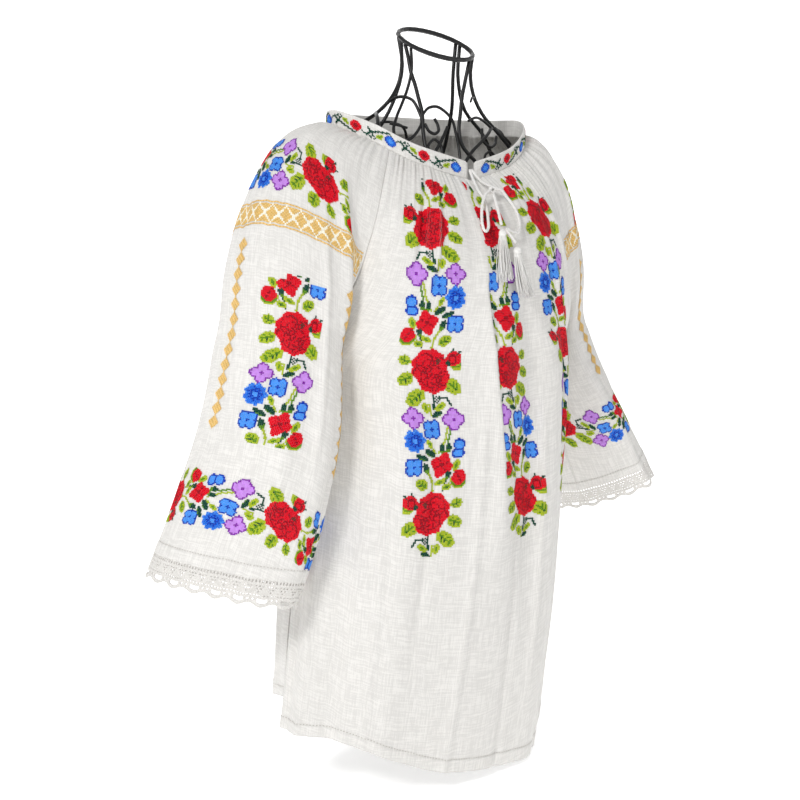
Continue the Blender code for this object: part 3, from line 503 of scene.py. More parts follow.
def woven_linen():
    """Hand-woven linen, plain weave, washed: off-white, matt, with uneven slub threads both ways.

    It scatters light softly, its thick threads show as faint streaks in their own uneven tone, and it is
    painted a little darker between the threads: painted shade.
    """
    finish, tree, shader = new_finish("woven_linen", "F1EEEA", 0.88, sheen=0.25)
    place = add_node(tree, "ShaderNodeUVMap", uv_map="flat").outputs["UV"]
    shades = []
    for turn in (0.0, radians(90)):
        laid = add_node(tree, "ShaderNodeMapping", [("Vector", place)])
        laid.inputs["Rotation"].default_value = (0.0, 0.0, turn)
        threads = add_node(tree, "ShaderNodeTexWave", [("Vector", laid.outputs["Vector"])],
                           Scale=0.314 / THREAD, Distortion=1.2, Detail=1.0, Detail_Scale=0.6)
        slub = add_node(tree, "ShaderNodeMapping", [("Vector", laid.outputs["Vector"])])
        slub.inputs["Scale"].default_value = (1 / 0.0016, 1 / 0.022, 1.0)
        streak = add_node(tree, "ShaderNodeTexNoise", [("Vector", slub.outputs["Vector"])],
                          Scale=1.0, Detail=2.0, Roughness=0.6)
        shades.append((threads.outputs["Fac"], streak.outputs["Fac"]))
    weave = add_node(tree, "ShaderNodeMath", [(0, shades[0][0]), (1, shades[1][0])], operation="ADD")
    slubs = add_node(tree, "ShaderNodeMath", [(0, shades[0][1]), (1, shades[1][1])], operation="ADD")
    both = add_node(tree, "ShaderNodeMath", [(0, weave.outputs[0]), (2, slubs.outputs[0])],
                    operation="MULTIPLY_ADD")
    both.inputs[1].default_value = 0.12
    both_scaled = add_node(tree, "ShaderNodeMath", [(0, both.outputs[0])], operation="MULTIPLY")
    both_scaled.inputs[1].default_value = 0.78
    # The ramp's colour is partly the slubs' own uneven tone and partly painted shade between the threads from
    # the weave's waves.
    ramp = add_node(tree, "ShaderNodeValToRGB", [("Fac", both_scaled.outputs[0])])
    ramp.color_ramp.elements[0].position = 0.80
    ramp.color_ramp.elements[0].color = (*to_linear("DBD9D5"), 1.0)
    ramp.color_ramp.elements[1].position = 1.0
    ramp.color_ramp.elements[1].color = (*to_linear("EAE8E4"), 1.0)
    tree.links.new(ramp.outputs["Color"], shader.inputs["Base Color"])
    bump = add_node(tree, "ShaderNodeBump", [("Height", both.outputs[0])], Strength=0.35, Distance=0.0003)
    tree.links.new(bump.outputs["Normal"], shader.inputs["Normal"])
    return finish


def spun_cotton(name, colour, shade, roughness):
    """Bleached cotton yarn, as in lace and cord: white, matt, with a fine fuzz that softens its edge."""
    finish, tree, shader = new_finish(name, colour, roughness, sheen=0.35)
    place = add_node(tree, "ShaderNodeTexCoord").outputs["Object"]
    fuzz = add_node(tree, "ShaderNodeTexNoise", [("Vector", place)], Scale=1 / 0.0006, Detail=2.0)
    ramp = add_node(tree, "ShaderNodeValToRGB", [("Fac", fuzz.outputs["Fac"])])
    ramp.color_ramp.elements[0].position = 0.3
    ramp.color_ramp.elements[0].color = (*to_linear(shade), 1.0)
    ramp.color_ramp.elements[1].position = 0.65
    ramp.color_ramp.elements[1].color = (*to_linear(colour), 1.0)
    tree.links.new(ramp.outputs["Color"], shader.inputs["Base Color"])
    bump = add_node(tree, "ShaderNodeBump", [("Height", fuzz.outputs["Fac"])], Strength=0.4, Distance=0.0002)
    tree.links.new(bump.outputs["Normal"], shader.inputs["Normal"])
    return finish


def embroidery_floss():
    """Stranded mercerised cotton in cross stitch: each stitch has its own colour, with a silky sheen."""
    finish, tree, shader = new_finish("embroidery_floss", "D81828", 0.65)
    shader.inputs["Specular IOR Level"].default_value = 0.15
    dye = add_node(tree, "ShaderNodeVertexColor", layer_name="dye").outputs["Color"]
    place = add_node(tree, "ShaderNodeTexCoord").outputs["Object"]
    shade = add_node(tree, "ShaderNodeTexNoise", [("Vector", place)], Scale=1 / 0.0030, Detail=1.0)
    value = add_node(tree, "ShaderNodeMapRange", [("Value", shade.outputs["Fac"])], From_Min=0.3,
                     From_Max=0.7, To_Min=0.88, To_Max=1.08)
    mixed = add_node(tree, "ShaderNodeHueSaturation", [("Color", dye), ("Value", value.outputs["Result"])])
    tree.links.new(mixed.outputs["Color"], shader.inputs["Base Color"])
    return finish


def black_wire():
    """Steel wire with satin black paint: nearly black, with a soft highlight along each rod."""
    finish, tree, shader = new_finish("black_painted_wire", "0B0B0D", 0.40)
    place = add_node(tree, "ShaderNodeTexCoord").outputs["Object"]
    grain = add_node(tree, "ShaderNodeTexNoise", [("Vector", place)], Scale=1 / 0.0025, Detail=3.0)
    rough = add_node(tree, "ShaderNodeMapRange", [("Value", grain.outputs["Fac"])], To_Min=0.32, To_Max=0.55)
    tree.links.new(rough.outputs["Result"], shader.inputs["Roughness"])
    bump = add_node(tree, "ShaderNodeBump", [("Height", grain.outputs["Fac"])], Strength=0.15,
                    Distance=0.0002)
    tree.links.new(bump.outputs["Normal"], shader.inputs["Normal"])
    return finish


# The blouse

HEM_TALL = 0.012
CUFF_TALL = 0.014
PANEL_LONG = 0.62
SLEEVE_LONG = 0.46
# Rows of the stitches that hold the hems, just above each hem's edge
HEM_LINE = 1 - (HEM_TALL + 0.0012) / PANEL_LONG
CUFF_LINE = 1 - (CUFF_TALL + 0.0012) / SLEEVE_LONG
# Flat sizes of the cut pieces, across and down
FRONT_CUT = (0.46, 0.64)
BACK_CUT = (0.42, 0.66)
SLEEVE_CUT = (0.34, 0.44)


def rows_with_hem(low, high, count, hems):
    """Spread rows evenly, with close pairs of rows at each hem's line."""
    rows = list(np.linspace(low, high, count))
    for place, step in hems:
        rows += [place - step, place, place + step]
    return np.unique(np.round(rows, 6))


def hem_step(down, place, step):
    """Raise the turned hem below its line by one more layer of cloth."""
    return HEM_EXTRA * ease((down - place) / step + 0.5)[:, None]


def blouse_surfaces():
    """Work out the outer surfaces of the front, the back and both sleeves, as (down, across, grid, side)."""
    neck = (-FRONT_SEAM_ANGLE, FRONT_SEAM_ANGLE)
    front_net = panel_net(FRONT_ROWS, FRONT_HEM, FRONT_SHIFT, neck)
    back_net = panel_net(BACK_ROWS, BACK_HEM, BACK_SHIFT, (360.0 - BACK_SEAM_ANGLE, BACK_SEAM_ANGLE))
    close_sides(front_net, back_net)
    rows = len(CAP_PLACES)
    surfaces = {}
    for name, net, folds, columns, count, seeds, outward in (
            ("front", front_net, FRONT_FOLDS, 181, 200, (44, 3, 4), -1.0),
            ("back", back_net, BACK_FOLDS, 141, 150, (36, 5, 6), 1.0)):
        across = np.linspace(-1.0, 1.0, columns)
        down = rows_with_hem(0.0, 1.0, count, [(1 - HEM_TALL / PANEL_LONG, 0.0012)])
        small = gathers(across[None, :], down[:, None], seeds[0], seeds[1], 0.0034, 0.24)
        small = small + cockle(across[None, :], down[:, None], seeds[2], 0.0016)
        calm = 1.0
        if name == "front":
            small = small + pleat(across[None, :], down[:, None])
            calm = calm_under_tie(across[None, :], down[:, None])
        small = small * edge_calm(across, 0.05) + hem_step(down, 1 - HEM_TALL / PANEL_LONG, 0.0024)
        grid = cloth_grid(net, PANEL_DOWN, PANEL_COLUMNS, down, across, folds, small, outward, calm)
        surfaces[name] = (down, across, grid, outward)
    for name, table, reach, side, folds, seed in (
            ("sleeve_right", RIGHT_SLEEVE, RIGHT_REACH, -1.0, RIGHT_FOLDS, 8),
            ("sleeve_left", LEFT_SLEEVE, LEFT_REACH, 1.0, LEFT_FOLDS, 9)):
        net = sleeve_net(table, reach, front_net[:rows, -1], back_net[:rows, -1])
        net[rows - 1:, 0] = net[rows - 1:, -1] = (net[rows - 1:, 0] + net[rows - 1:, -1]) / 2
        around = np.linspace(0.0, 1.0, 151)
        down = rows_with_hem(0.0, 1.0, 170, [(1 - CUFF_TALL / SLEEVE_LONG, 0.0016)])
        small = gathers(around[None, :], down[:, None], 26, seed, 0.0036, 0.26)
        small = small + cockle(2 * around[None, :], down[:, None], seed + 5, 0.0016)
        small = small * edge_calm(2 * around - 1, 0.06) + hem_step(down, 1 - CUFF_TALL / SLEEVE_LONG, 0.0030)
        grid = cloth_grid(net, SLEEVE_DOWN, SLEEVE_COLUMNS, down, around, folds, small, -1.0)
        grid[..., 0] *= side
        surfaces[name] = (down, around, grid, -side)
    return surfaces


def build_blouse(surfaces, linen):
    """Make the front, the back and both sleeves as cloth sheets from their surfaces, with their flat maps,
    and hide the parts they replace.
    """
    for name, flat, held in (("front", FRONT_CUT, "gathered"), ("back", BACK_CUT, "hung"),
                             ("sleeve_right", SLEEVE_CUT, "gathered"),
                             ("sleeve_left", SLEEVE_CUT, "gathered")):
        down, across, grid, outward = surfaces[name]
        piece = add_cloth(name + "_cloth", grid, outward, linen)
        lay_map(piece, *flat_lengths(grid, flat[0]))
        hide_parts(name)


def edge_calm(across, width):
    """Fade small folds away towards the two side seams."""
    return ease((1 - np.abs(across)) / width)[None, :]


def close_sides(front_net, back_net):
    """Bring the panels' side edges together from the armpit to the top of the side slits."""
    shut = 1 - ease((PANEL_DOWN - 0.66) / 0.12)
    below = PANEL_DOWN >= SEAM_FRACTION - 1e-6
    share = (shut * below)[:, None]
    for column in (-1, 0):
        middle = (front_net[:, column] + back_net[:, column]) / 2
        front_net[:, column] += share * (middle - front_net[:, column])
        back_net[:, column] += share * (middle - back_net[:, column])


def build_collar(linen):
    """Build the neck band: a rounded band profile carried round the collar line, split at the front."""
    angle = np.linspace(COLLAR_SPLIT, 2 * np.pi - COLLAR_SPLIT, 301)
    step = np.linspace(0, 2 * np.pi, 20, endpoint=False)
    out = COLLAR_THICK / 2 * np.sign(np.cos(step)) * np.abs(np.cos(step)) ** 0.6
    up = (COLLAR_TALL / 2) * np.sign(np.sin(step)) * np.abs(np.sin(step)) ** 0.35
    line = collar_point(angle, 0.0)
    ahead = unit(np.gradient(line, axis=0))
    side = unit(np.cross(ahead, np.array([0.0, 0.0, 1.0])))
    end = np.minimum(angle - angle[0], angle[-1] - angle)
    close = np.sqrt(np.clip(end / radians(1.2), 0.0, 1.0))
    band = (line[:, None] + side[:, None] * ((out + 0.0005)[None, :, None])
            + np.array([0, 0, 1.0]) * up[None, :, None] * (0.85 + 0.15 * close)[:, None, None])
    faces = grid_faces(len(angle), len(step), closed=True).tolist()
    faces.append(list(range(len(step))))
    faces.append(list(range((len(angle) - 1) * len(step), len(angle) * len(step)))[::-1])
    piece = add_piece("neck_band", band, faces, linen)
    along = np.concatenate([[0.0], np.cumsum(np.linalg.norm(np.diff(line, axis=0), axis=1))])
    lay_map(piece, np.repeat(along[:, None], len(step), 1), np.repeat(up[None, :], len(angle), 0))
    fix_normals(piece)
    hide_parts("collar")
    return piece


def fix_normals(piece):
    """Turn a closed piece's faces outward."""
    shaper = bmesh.new()
    shaper.from_mesh(piece.data)
    bmesh.ops.recalc_face_normals(shaper, faces=shaper.faces)
    shaper.to_mesh(piece.data)
    shaper.free()


# Needlework charts

# Colours of floss by number; 0 is bare cloth
FLOSS = ("E00C24", "98081C", "AEC02C", "5C8C1C", "124636", "509AF6", "0E3CB4", "2870E2", "CE92EE", "8832AC",
         "F2CC84", "E2B866", "FFFBEA", "C6C2BC")
# The last floss, C6C2BC, is grey for the white hem thread's running stitches: painted shade.
RED, DEEP, LIME, LEAF, DARK, SKY, NAVY, CORN, LILAC, PLUM, GOLD, OCHRE, CREAM, SEAM = range(1, 15)
BAND_COLUMNS = 42
REPEAT_ROWS = 94
STITCH = 0.00145

# kind, column, row, half width, half height, turn in degrees, of one repeat
REPEAT_MOTIFS = (
    ("leaf", 5.1, 7.4, 4.2, 3.4, 20), ("leaf", 5.8, 19.5, 5.4, 4.2, -25), ("leaf", 11.3, 31.2, 7.2, 4.6, -35),
    ("leaf", 38.4, 12.4, 3.4, 2.6, 10), ("leaf", 36.3, 24.8, 6.4, 4.6, 40),
    ("rose", 22.6, 14.4, 13.0, 14.6, 0), ("bud", 36.6, 6.6, 4.8, 5.2, 0),
    ("sprig", 17.0, 37.9, 2.0, 3.8, -15), ("sprig", 26.7, 37.6, 4.2, 2.0, -30),
    ("shade", 24.3, 42.3, 3.8, 1.8, -25),
    ("lilac", 7.9, 44.0, 6.6, 6.6, 0), ("lilac", 34.2, 46.3, 7.0, 7.0, 0),
    ("blue", 19.2, 52.0, 6.2, 6.6, 0), ("corn", 7.2, 58.7, 6.6, 7.2, 0), ("side", 36.0, 65.4, 4.6, 6.4, 0),
    ("sprig", 16.8, 61.7, 1.6, 3.4, -25), ("shade", 25.0, 65.1, 1.6, 3.2, 0),
    ("shade", 29.5, 64.8, 1.6, 3.2, 0), ("shade", 16.8, 67.5, 4.2, 2.0, 35),
    ("small", 25.0, 75.8, 6.6, 7.6, 0), ("blue", 6.2, 76.2, 6.0, 6.6, 0),
    ("shade", 11.5, 70.1, 4.4, 1.7, 25), ("shade", 14.2, 77.4, 1.9, 3.8, -20),
    ("sprig", 34.6, 76.5, 2.4, 4.2, 20), ("cup", 36.6, 86.4, 5.8, 5.4, 0),
    ("smallbud", 36.6, 84.4, 4.8, 5.0, 0),
    ("leaf", 11.6, 88.3, 4.4, 3.6, 40), ("shade", 28.8, 82.9, 1.6, 3.0, 10),
    ("sprig", 24.3, 87.2, 4.0, 1.8, -25),
    ("leaf", 28.6, 90.4, 3.6, 2.2, -20),
)
# colour, then the (column, row) points that each stem passes
REPEAT_STEMS = (
    (DARK, (23.3, 29.0), (22.6, 35.9), (22.6, 39.5)), (DARK, (26.0, 31.9), (31.5, 31.9), (33.8, 36.5)),
    (LIME, (19.5, 35.9), (20.2, 40.6), (20.5, 43.3)), (LIME, (29.6, 51.3), (27.2, 60.0), (22.8, 68.0)),
    (LEAF, (31.6, 52.0), (29.4, 59.4), (27.2, 68.6)), (LIME, (17.8, 63.4), (21.2, 68.4)),
    (LIME, (15.4, 79.5), (18.4, 86.0), (19.6, 93.5)), (DARK, (31.6, 80.5), (27.5, 86.5), (26.0, 93.5)),
)


def laid(chart, x, y, turn):
    """Give each chart cell's place along and aside of a turned line through a point."""
    rows, columns = np.mgrid[:chart.shape[0], :chart.shape[1]]
    turn = np.radians(turn)
    ahead = (columns - x) * np.cos(turn) + (rows - y) * np.sin(turn)
    return ahead, (rows - y) * np.cos(turn) - (columns - x) * np.sin(turn)


def oval(chart, x, y, wide, tall, turn=0.0, wave=0.0, lobes=0):
    """Give each cell's distance from an oval's middle, 1 at its edge, which can be waved in lobes."""
    ahead, aside = laid(chart, x, y, turn)
    reach = np.hypot(ahead / wide, aside / tall)
    return reach / (1 + wave * np.cos(lobes * np.arctan2(aside / tall, ahead / wide)))


# Each petal line of a rose: its middle across and up, and its size, as shares of the rose
ROSE_PETALS = ((-0.30, -0.34, 0.42), (-0.22, -0.30, 0.20), (0.36, -0.16, 0.44), (0.0, 0.24, 0.50),
               (0.12, 0.50, 0.34), (0.14, 0.46, 0.16), (-0.55, 0.12, 0.34), (0.58, 0.34, 0.30))


def draw_rose(chart, x, y, wide, tall, turn):
    """A full rose: a lobed red shape with broken dark lines round its overlapping petals."""
    body = np.minimum(oval(chart, x - 0.12 * wide, y - 0.18 * tall, 0.88 * wide, 0.80 * tall, 0, 0.04, 9),
                      oval(chart, x + 0.10 * wide, y + 0.30 * tall, 0.80 * wide, 0.70 * tall, 0, 0.05, 8))
    chart[body < 1] = RED
    rows, columns = np.mgrid[:chart.shape[0], :chart.shape[1]]
    broken = (rows + 2 * columns) % 5 > 0
    for ahead, up, size in ROSE_PETALS:
        ring = oval(chart, x + ahead * wide, y + up * tall, size * wide, size * tall)
        chart[(np.abs(ring - 1) < 0.5 / (size * wide)) & (body < 0.93) & broken] = DEEP
    heart = oval(chart, x + 0.30 * wide, y - 0.42 * tall, 1.6, 1.9)
    chart[(heart < 1) & ((rows + columns) % 2 == 0)] = DARK
    chart[(heart < 1) & ((rows + columns) % 2 == 1)] = DEEP


def draw_bud(chart, x, y, wide, tall, turn):
    """A half-open side rose with green sepals below and two dark stamens above."""
    chart[oval(chart, x + 1.6, y + 3.4, 4.2, 3.4) < 1] = LIME
    chart[np.abs(oval(chart, x + 1.6, y + 3.4, 3.0, 2.4) - 1) < 0.2] = LEAF
    reach = oval(chart, x, y, wide, tall, 30, 0.06, 5)
    chart[reach < 1] = RED
    chart[(np.abs(oval(chart, x - 0.6, y + 0.6, 2.4, 2.8) - 1) < 0.22) & (reach < 1)] = DEEP
    for points in (((x - 1.5, y - tall + 0.5), (x + 0.4, y - tall - 2.6)),
                   ((x + 2.6, y - 3.0), (x + 4.4, y - 5.0))):
        draw_stem(chart, DARK, points, 0.5)
    chart[oval(chart, x - 3.4, y + 3.0, 1.6, 1.8) < 1] = DARK


def draw_smallbud(chart, x, y, wide, tall, turn):
    """A closed red bud, darker down one side."""
    reach = oval(chart, x, y, wide, tall, 20, 0.05, 5)
    chart[reach < 1] = RED
    ahead, aside = laid(chart, x, y, 60)
    chart[(reach < 0.85) & (np.abs(aside) < 0.6) & (ahead % 3 > 0.9)] = DEEP


def draw_cup(chart, x, y, wide, tall, turn):
    """The green cup that a bud sits in."""
    chart[oval(chart, x, y, wide, tall) < 1] = LIME
    chart[np.abs(oval(chart, x, y - 0.6, wide - 1.2, tall - 1.0) - 1) < 0.12] = LEAF


def draw_small(chart, x, y, wide, tall, turn):
    """A small red flower of four round petals with a dark middle."""
    reach = oval(chart, x, y, wide, tall, 20, 0.16, 4)
    chart[reach < 1] = RED
    ahead, aside = laid(chart, x, y, 65)
    broken = (np.floor(ahead) + np.floor(aside)) % 3 > 0
    chart[(reach < 0.8) & ((np.abs(ahead) < 0.6) | (np.abs(aside) < 0.6)) & broken] = DEEP
    chart[oval(chart, x, y, 1.5, 1.5) < 1] = DEEP


def draw_leaf(chart, x, y, wide, tall, turn):
    """A broad leaf: lime, with a mid-green main vein and side veins, darker beside it."""
    reach = oval(chart, x, y, wide, tall, turn, 0.05, 7)
    chart[reach < 1] = LIME
    ahead, aside = laid(chart, x, y, turn)
    veins = (ahead + 0.8 * np.abs(aside)) % 3.0 < 1.1
    chart[(reach < 0.74) & veins] = LEAF
    chart[(reach < 0.70) & (np.abs(aside) < 0.55)] = LEAF
    chart[(reach < 0.5) & veins & (aside > 0.4)] = DARK


def draw_sprig(chart, x, y, wide, tall, turn):
    """A slim lime leaf with a mid-green middle."""
    reach = oval(chart, x, y, wide, tall, turn)
    chart[reach < 1] = LIME
    chart[reach < 0.42] = LEAF


def draw_shade(chart, x, y, wide, tall, turn):
    """A slim dark leaf with one lighter edge."""
    reach = oval(chart, x, y, wide, tall, turn)
    ahead, aside = laid(chart, x, y, turn)
    chart[reach < 1] = DARK
    chart[(reach < 1) & (aside > 0.6 * min(wide, tall))] = LEAF


def draw_petals(chart, x, y, wide, tall, first, light, dark):
    """Four round petals, each light with a dark outline, meeting at a dark middle."""
    angle = np.radians(first + 90.0 * np.arange(4))
    places = [(x + 0.52 * wide * np.cos(one), y + 0.52 * tall * np.sin(one)) for one in angle]
    for across, down in places:
        chart[oval(chart, across, down, 0.56 * wide, 0.56 * tall) < 1] = dark
    for across, down in places:
        chart[oval(chart, across, down, 0.56 * wide - 1.05, 0.56 * tall - 1.05) < 1] = light
    chart[oval(chart, x, y, 1.1, 1.1) < 1] = dark


def draw_lilac(chart, x, y, wide, tall, turn):
    """A four-petalled lilac flower."""
    draw_petals(chart, x, y, wide, tall, 0.0, LILAC, PLUM)


def draw_blue(chart, x, y, wide, tall, turn):
    """A four-petalled blue flower with a navy cross between its petals."""
    draw_petals(chart, x, y, wide, tall, 45.0, SKY, NAVY)


def draw_side(chart, x, y, wide, tall, turn):
    """A blue flower seen from the side: two rounds, one over the other."""
    for ahead, up, half, high in ((0.6, -2.6, wide - 0.6, 4.0), (-0.3, 3.0, wide, 3.6)):
        chart[oval(chart, x + ahead, y + up, half, high) < 1] = NAVY
    for ahead, up, half, high in ((0.6, -2.4, wide - 1.8, 2.7), (-0.3, 3.0, wide - 1.3, 2.3)):
        chart[oval(chart, x + ahead, y + up, half, high) < 1] = SKY


def draw_corn(chart, x, y, wide, tall, turn):
    """A cornflower: a ragged mid-blue edge, a broken navy ring and a light heart."""
    chart[oval(chart, x, y, wide, tall, 0, 0.10, 9) < 1] = CORN
    rows, columns = np.mgrid[:chart.shape[0], :chart.shape[1]]
    ring = oval(chart, x, y, 0.62 * wide, 0.62 * tall, 0, 0.12, 7)
    chart[(ring < 1) & ((rows * 2 + columns) % 4 > 0)] = NAVY
    chart[oval(chart, x, y, 1.7, 1.7) < 1] = SKY
    edge = oval(chart, x, y, wide, tall, 0, 0.10, 9)
    chart[(edge < 1) & (edge > 0.8) & ((rows + columns) % 3 == 0)] = SKY


def draw_stem(chart, colour, points, half=0.62):
    """A stem: the cells nearest to a line through its points."""
    points = np.asarray(points, float)
    steps = np.linspace(0, len(points) - 1, 14 * len(points))
    line = np.stack([np.interp(steps, np.arange(len(points)), points[:, axis]) for axis in (0, 1)], axis=-1)
    rows, columns = np.mgrid[:chart.shape[0], :chart.shape[1]]
    far = np.hypot(columns[..., None] - line[:, 0], rows[..., None] - line[:, 1]).min(axis=-1)
    chart[far < half] = colour


def repeat_chart():
    """Chart one repeat of the floral band: a rose and its bud, lilacs, blue flowers and small red ones."""
    chart = np.zeros((REPEAT_ROWS, BAND_COLUMNS), int)
    for colour, *points in REPEAT_STEMS:
        draw_stem(chart, colour, points)
    draw = {"leaf": draw_leaf, "rose": draw_rose, "bud": draw_bud, "sprig": draw_sprig, "shade": draw_shade,
            "lilac": draw_lilac, "blue": draw_blue, "corn": draw_corn, "side": draw_side,
            "small": draw_small, "cup": draw_cup, "smallbud": draw_smallbud}
    for kind, x, y, wide, tall, turn in REPEAT_MOTIFS:
        draw[kind](chart, x, y, wide, tall, turn)
    rows, columns = np.mgrid[:REPEAT_ROWS, :BAND_COLUMNS]
    net = (oval(chart, 25.4, 32.6, 2.6, 2.6) < 1) & ((rows + columns) % 2 == 0) & (chart == 0)
    chart[net] = DARK
    return chart


def floral_strip(first, last):
    """Cut a strip of rows from the endless band, in which every second repeat is turned over."""
    chart = repeat_chart()
    rows = np.arange(first, last)
    turned = (rows // REPEAT_ROWS % 2 == 1)[:, None]
    strip = chart[rows % REPEAT_ROWS]
    return np.where(turned, strip[:, ::-1], strip)


def diamond_band(length):
    """Chart the gold band: ochre and gold ground with two cream zigzags that cross into diamonds."""
    chart = np.zeros((length, 16), int)
    rows, columns = np.mgrid[:length, :16]
    chart[:] = np.where((rows + columns) % 2 == 0, GOLD, OCHRE)
    phase = np.abs((rows % 9) - 4.0) / 4.5
    line = np.abs(np.abs(columns - 7.5) - 5.8 * (1 - phase))
    chart[line < 0.95] = CREAM
    chart[:, (1, 14)] = np.where(chart[:, (1, 14)] == CREAM, CREAM, 0)
    return chart


def diamond_column(count):
    """Chart a column of gold diamonds on a thin line."""
    chart = np.zeros((10 * count, 9), int)
    rows, columns = np.mgrid[:10 * count, :9]
    shape = np.abs(columns - 4) / 4.6 + np.abs(rows % 10 - 4.5) / 5.0
    chart[:, 4] = GOLD
    chart[shape < 1] = np.where((rows + columns) % 3 == 0, OCHRE, GOLD)[shape < 1]
    return chart


# One repeat of the band round the neck, given as a chart: R flower, E its heart, D vine, L and G leaf
VINE = (
    "........................",
    "....DDD.................",
    "...D..DDDD..............",
    "..RRRR...DDDD......D....",
    ".RRRRRR.....DDD...DD....",
    "RRREERRR.LL...DDDDD.....",
    "RREEEERR.LGLL...DDD.....",
    "RRREERRR..LGGL..D.DD...D",
    ".RRRRRR...LLLL.DD..DDDD.",
    "..RRRR........D..DD.D...",
    "...............D.D......",
    "........................",
)


VINE_UNITS = 8


def vine_chart(units):
    """Chart half the neck band from the split: blue and red flowers, every second unit turned over."""
    marks = {".": 0, "D": DARK, "L": LIME, "G": LEAF}
    parts = []
    for unit in range(units):
        marks.update({"R": RED, "E": DEEP} if unit % 2 else {"R": CORN, "E": SKY})
        part = np.array([[marks[mark] for mark in line] for line in VINE]).T
        if unit % 2 == 0:
            rim = (np.roll(part, 1, 0) == 0) | (np.roll(part, -1, 0) == 0)
            part = np.where((part == CORN) & rim, NAVY, part)
        parts.append(part[:, ::-1] if unit % 2 else part)
    return np.concatenate(parts)


# Laying the stitches

def read_grid(values, down, across, down_at, across_at):
    """Read a grid's values at places between its rows and columns."""
    row = np.interp(down_at, down, np.arange(len(down)))
    column = np.interp(across_at, across, np.arange(len(across)))
    i = np.clip(row.astype(int), 0, len(down) - 2)
    j = np.clip(column.astype(int), 0, len(across) - 2)
    a, b = (row - i)[..., None], (column - j)[..., None]
    return ((values[i, j] * (1 - b) + values[i, j + 1] * b) * (1 - a)
            + (values[i + 1, j] * (1 - b) + values[i + 1, j + 1] * b) * a)


ARMS = (((0, 0), (0.92, 0.08), (1, 1), (0.08, 0.92)), ((1, 0), (0.92, 0.92), (0, 1), (0.08, 0.08)))
ARM_HEIGHTS = (0.00030, 0.00048)


def stitch_arms(chart, corner, normal, kept):
    """Give the two crossing arms of each stitch as four-sided faces, with their colours."""
    row, column = np.nonzero((chart > 0) & kept)
    base = [corner[row + i, column + j] for i, j in ((0, 0), (0, 1), (1, 0), (1, 1))]
    lift = normal[row, column]
    quads = []
    for arm, height in zip(ARMS, ARM_HEIGHTS):
        points = [base[0] * (1 - u) * (1 - v) + base[1] * (1 - u) * v + base[2] * u * (1 - v)
                  + base[3] * u * v + lift * height for u, v in arm]
        quad = np.stack(points, axis=1)
        facing = np.einsum("ij,ij->i", np.cross(quad[:, 1] - quad[:, 0], quad[:, 2] - quad[:, 0]), lift)
        quads.append(np.where((facing < 0)[:, None, None], quad[:, ::-1], quad))
    return np.concatenate(quads), np.tile(chart[row, column], 2)


def add_needlework(name, parts, floss):
    """Make one piece of all the stitches on a surface, each dyed its own colour."""
    quads = np.concatenate([part[0] for part in parts])
    dyes = np.concatenate([part[1] for part in parts])
    faces = np.arange(len(quads) * 4).reshape(-1, 4)
    piece = add_piece(name, quads, faces, floss, smooth=False)
    colours = np.array([[*to_linear(code), 1.0] for code in FLOSS])[dyes - 1]
    layer = piece.data.color_attributes.new("dye", "FLOAT_COLOR", "POINT")
    layer.data.foreach_set("color", np.repeat(colours, 4, axis=0).astype(np.float32).ravel())
    return piece


def down_lengths(grid):
    """Measure the cloth's length down from the neck to each point."""
    steps = np.linalg.norm(np.diff(grid, axis=0), axis=-1)
    return np.concatenate([np.zeros((1, grid.shape[1])), np.cumsum(steps, axis=0)])


def upright_band(surface, chart, line, first, pitch, wide, most=9.9):
    """Lay a chart down the cloth along a line of (down, across) rows, starting at a length from the neck."""
    down, across, grid, side = surface
    long = down_lengths(grid)
    place = np.interp(down, line[:, 0], line[:, 1])
    along = read_grid(long[..., None], down, across, down, place)[:, 0]
    widths = np.linalg.norm(np.diff(grid, axis=1), axis=-1).sum(axis=1) / (across[-1] - across[0])
    at = np.interp(first + pitch * np.arange(chart.shape[0] + 1), along, down)
    step = np.minimum(wide / np.interp(at, down, widths), most / chart.shape[1])
    columns = np.arange(chart.shape[1] + 1) - chart.shape[1] / 2
    across_at = np.interp(at, line[:, 0], line[:, 1])[:, None] + step[:, None] * columns[None, :]
    return np.repeat(at[:, None], chart.shape[1] + 1, 1), across_at


def level_band(surface, chart, middle, start, pitch, tall, bend=0.0):
    """Lay a chart round the cloth at one length from the neck, with the chart's columns going up."""
    down, across, grid, side = surface
    long = down_lengths(grid)
    ring = read_grid(grid, down, across, np.interp(middle, long.mean(axis=1), down), across)
    width = np.linalg.norm(np.diff(ring, axis=0), axis=-1).sum()
    across_at = start + pitch / width * np.arange(chart.shape[0] + 1)
    columns = np.arange(chart.shape[1] + 1) - chart.shape[1] / 2
    down_at = []
    for place in across_at:
        column = read_grid(long[..., None], down, across, down, np.full(len(down), place))[:, 0]
        down_at.append(np.interp(middle + bend * (place - 0.5) - tall * columns, column, down))
    return np.array(down_at), np.repeat(across_at[:, None], chart.shape[1] + 1, 1)


def stitched(surface, chart, places, low=None):
    """Turn a laid chart into stitches, leaving out those that run off the cloth or under a fold."""
    down, across, grid, side = surface
    down_at, across_at = places
    corner = read_grid(grid, down, across, down_at, across_at)
    normal = read_grid(grid_normals(grid) * side, down, across, down_at, across_at)
    inside = (across_at > across[0] + 0.012) & (across_at < across[-1] - 0.012) & (down_at < 0.97)
    if low is not None:
        inside &= (across_at > np.interp(down_at, low[:, 0], low[:, 1]) + 0.006) | (down_at > 0.54)
    kept = inside[:-1, :-1] & inside[1:, 1:] & inside[:-1, 1:] & inside[1:, :-1]
    return stitch_arms(chart, corner, normal, kept)


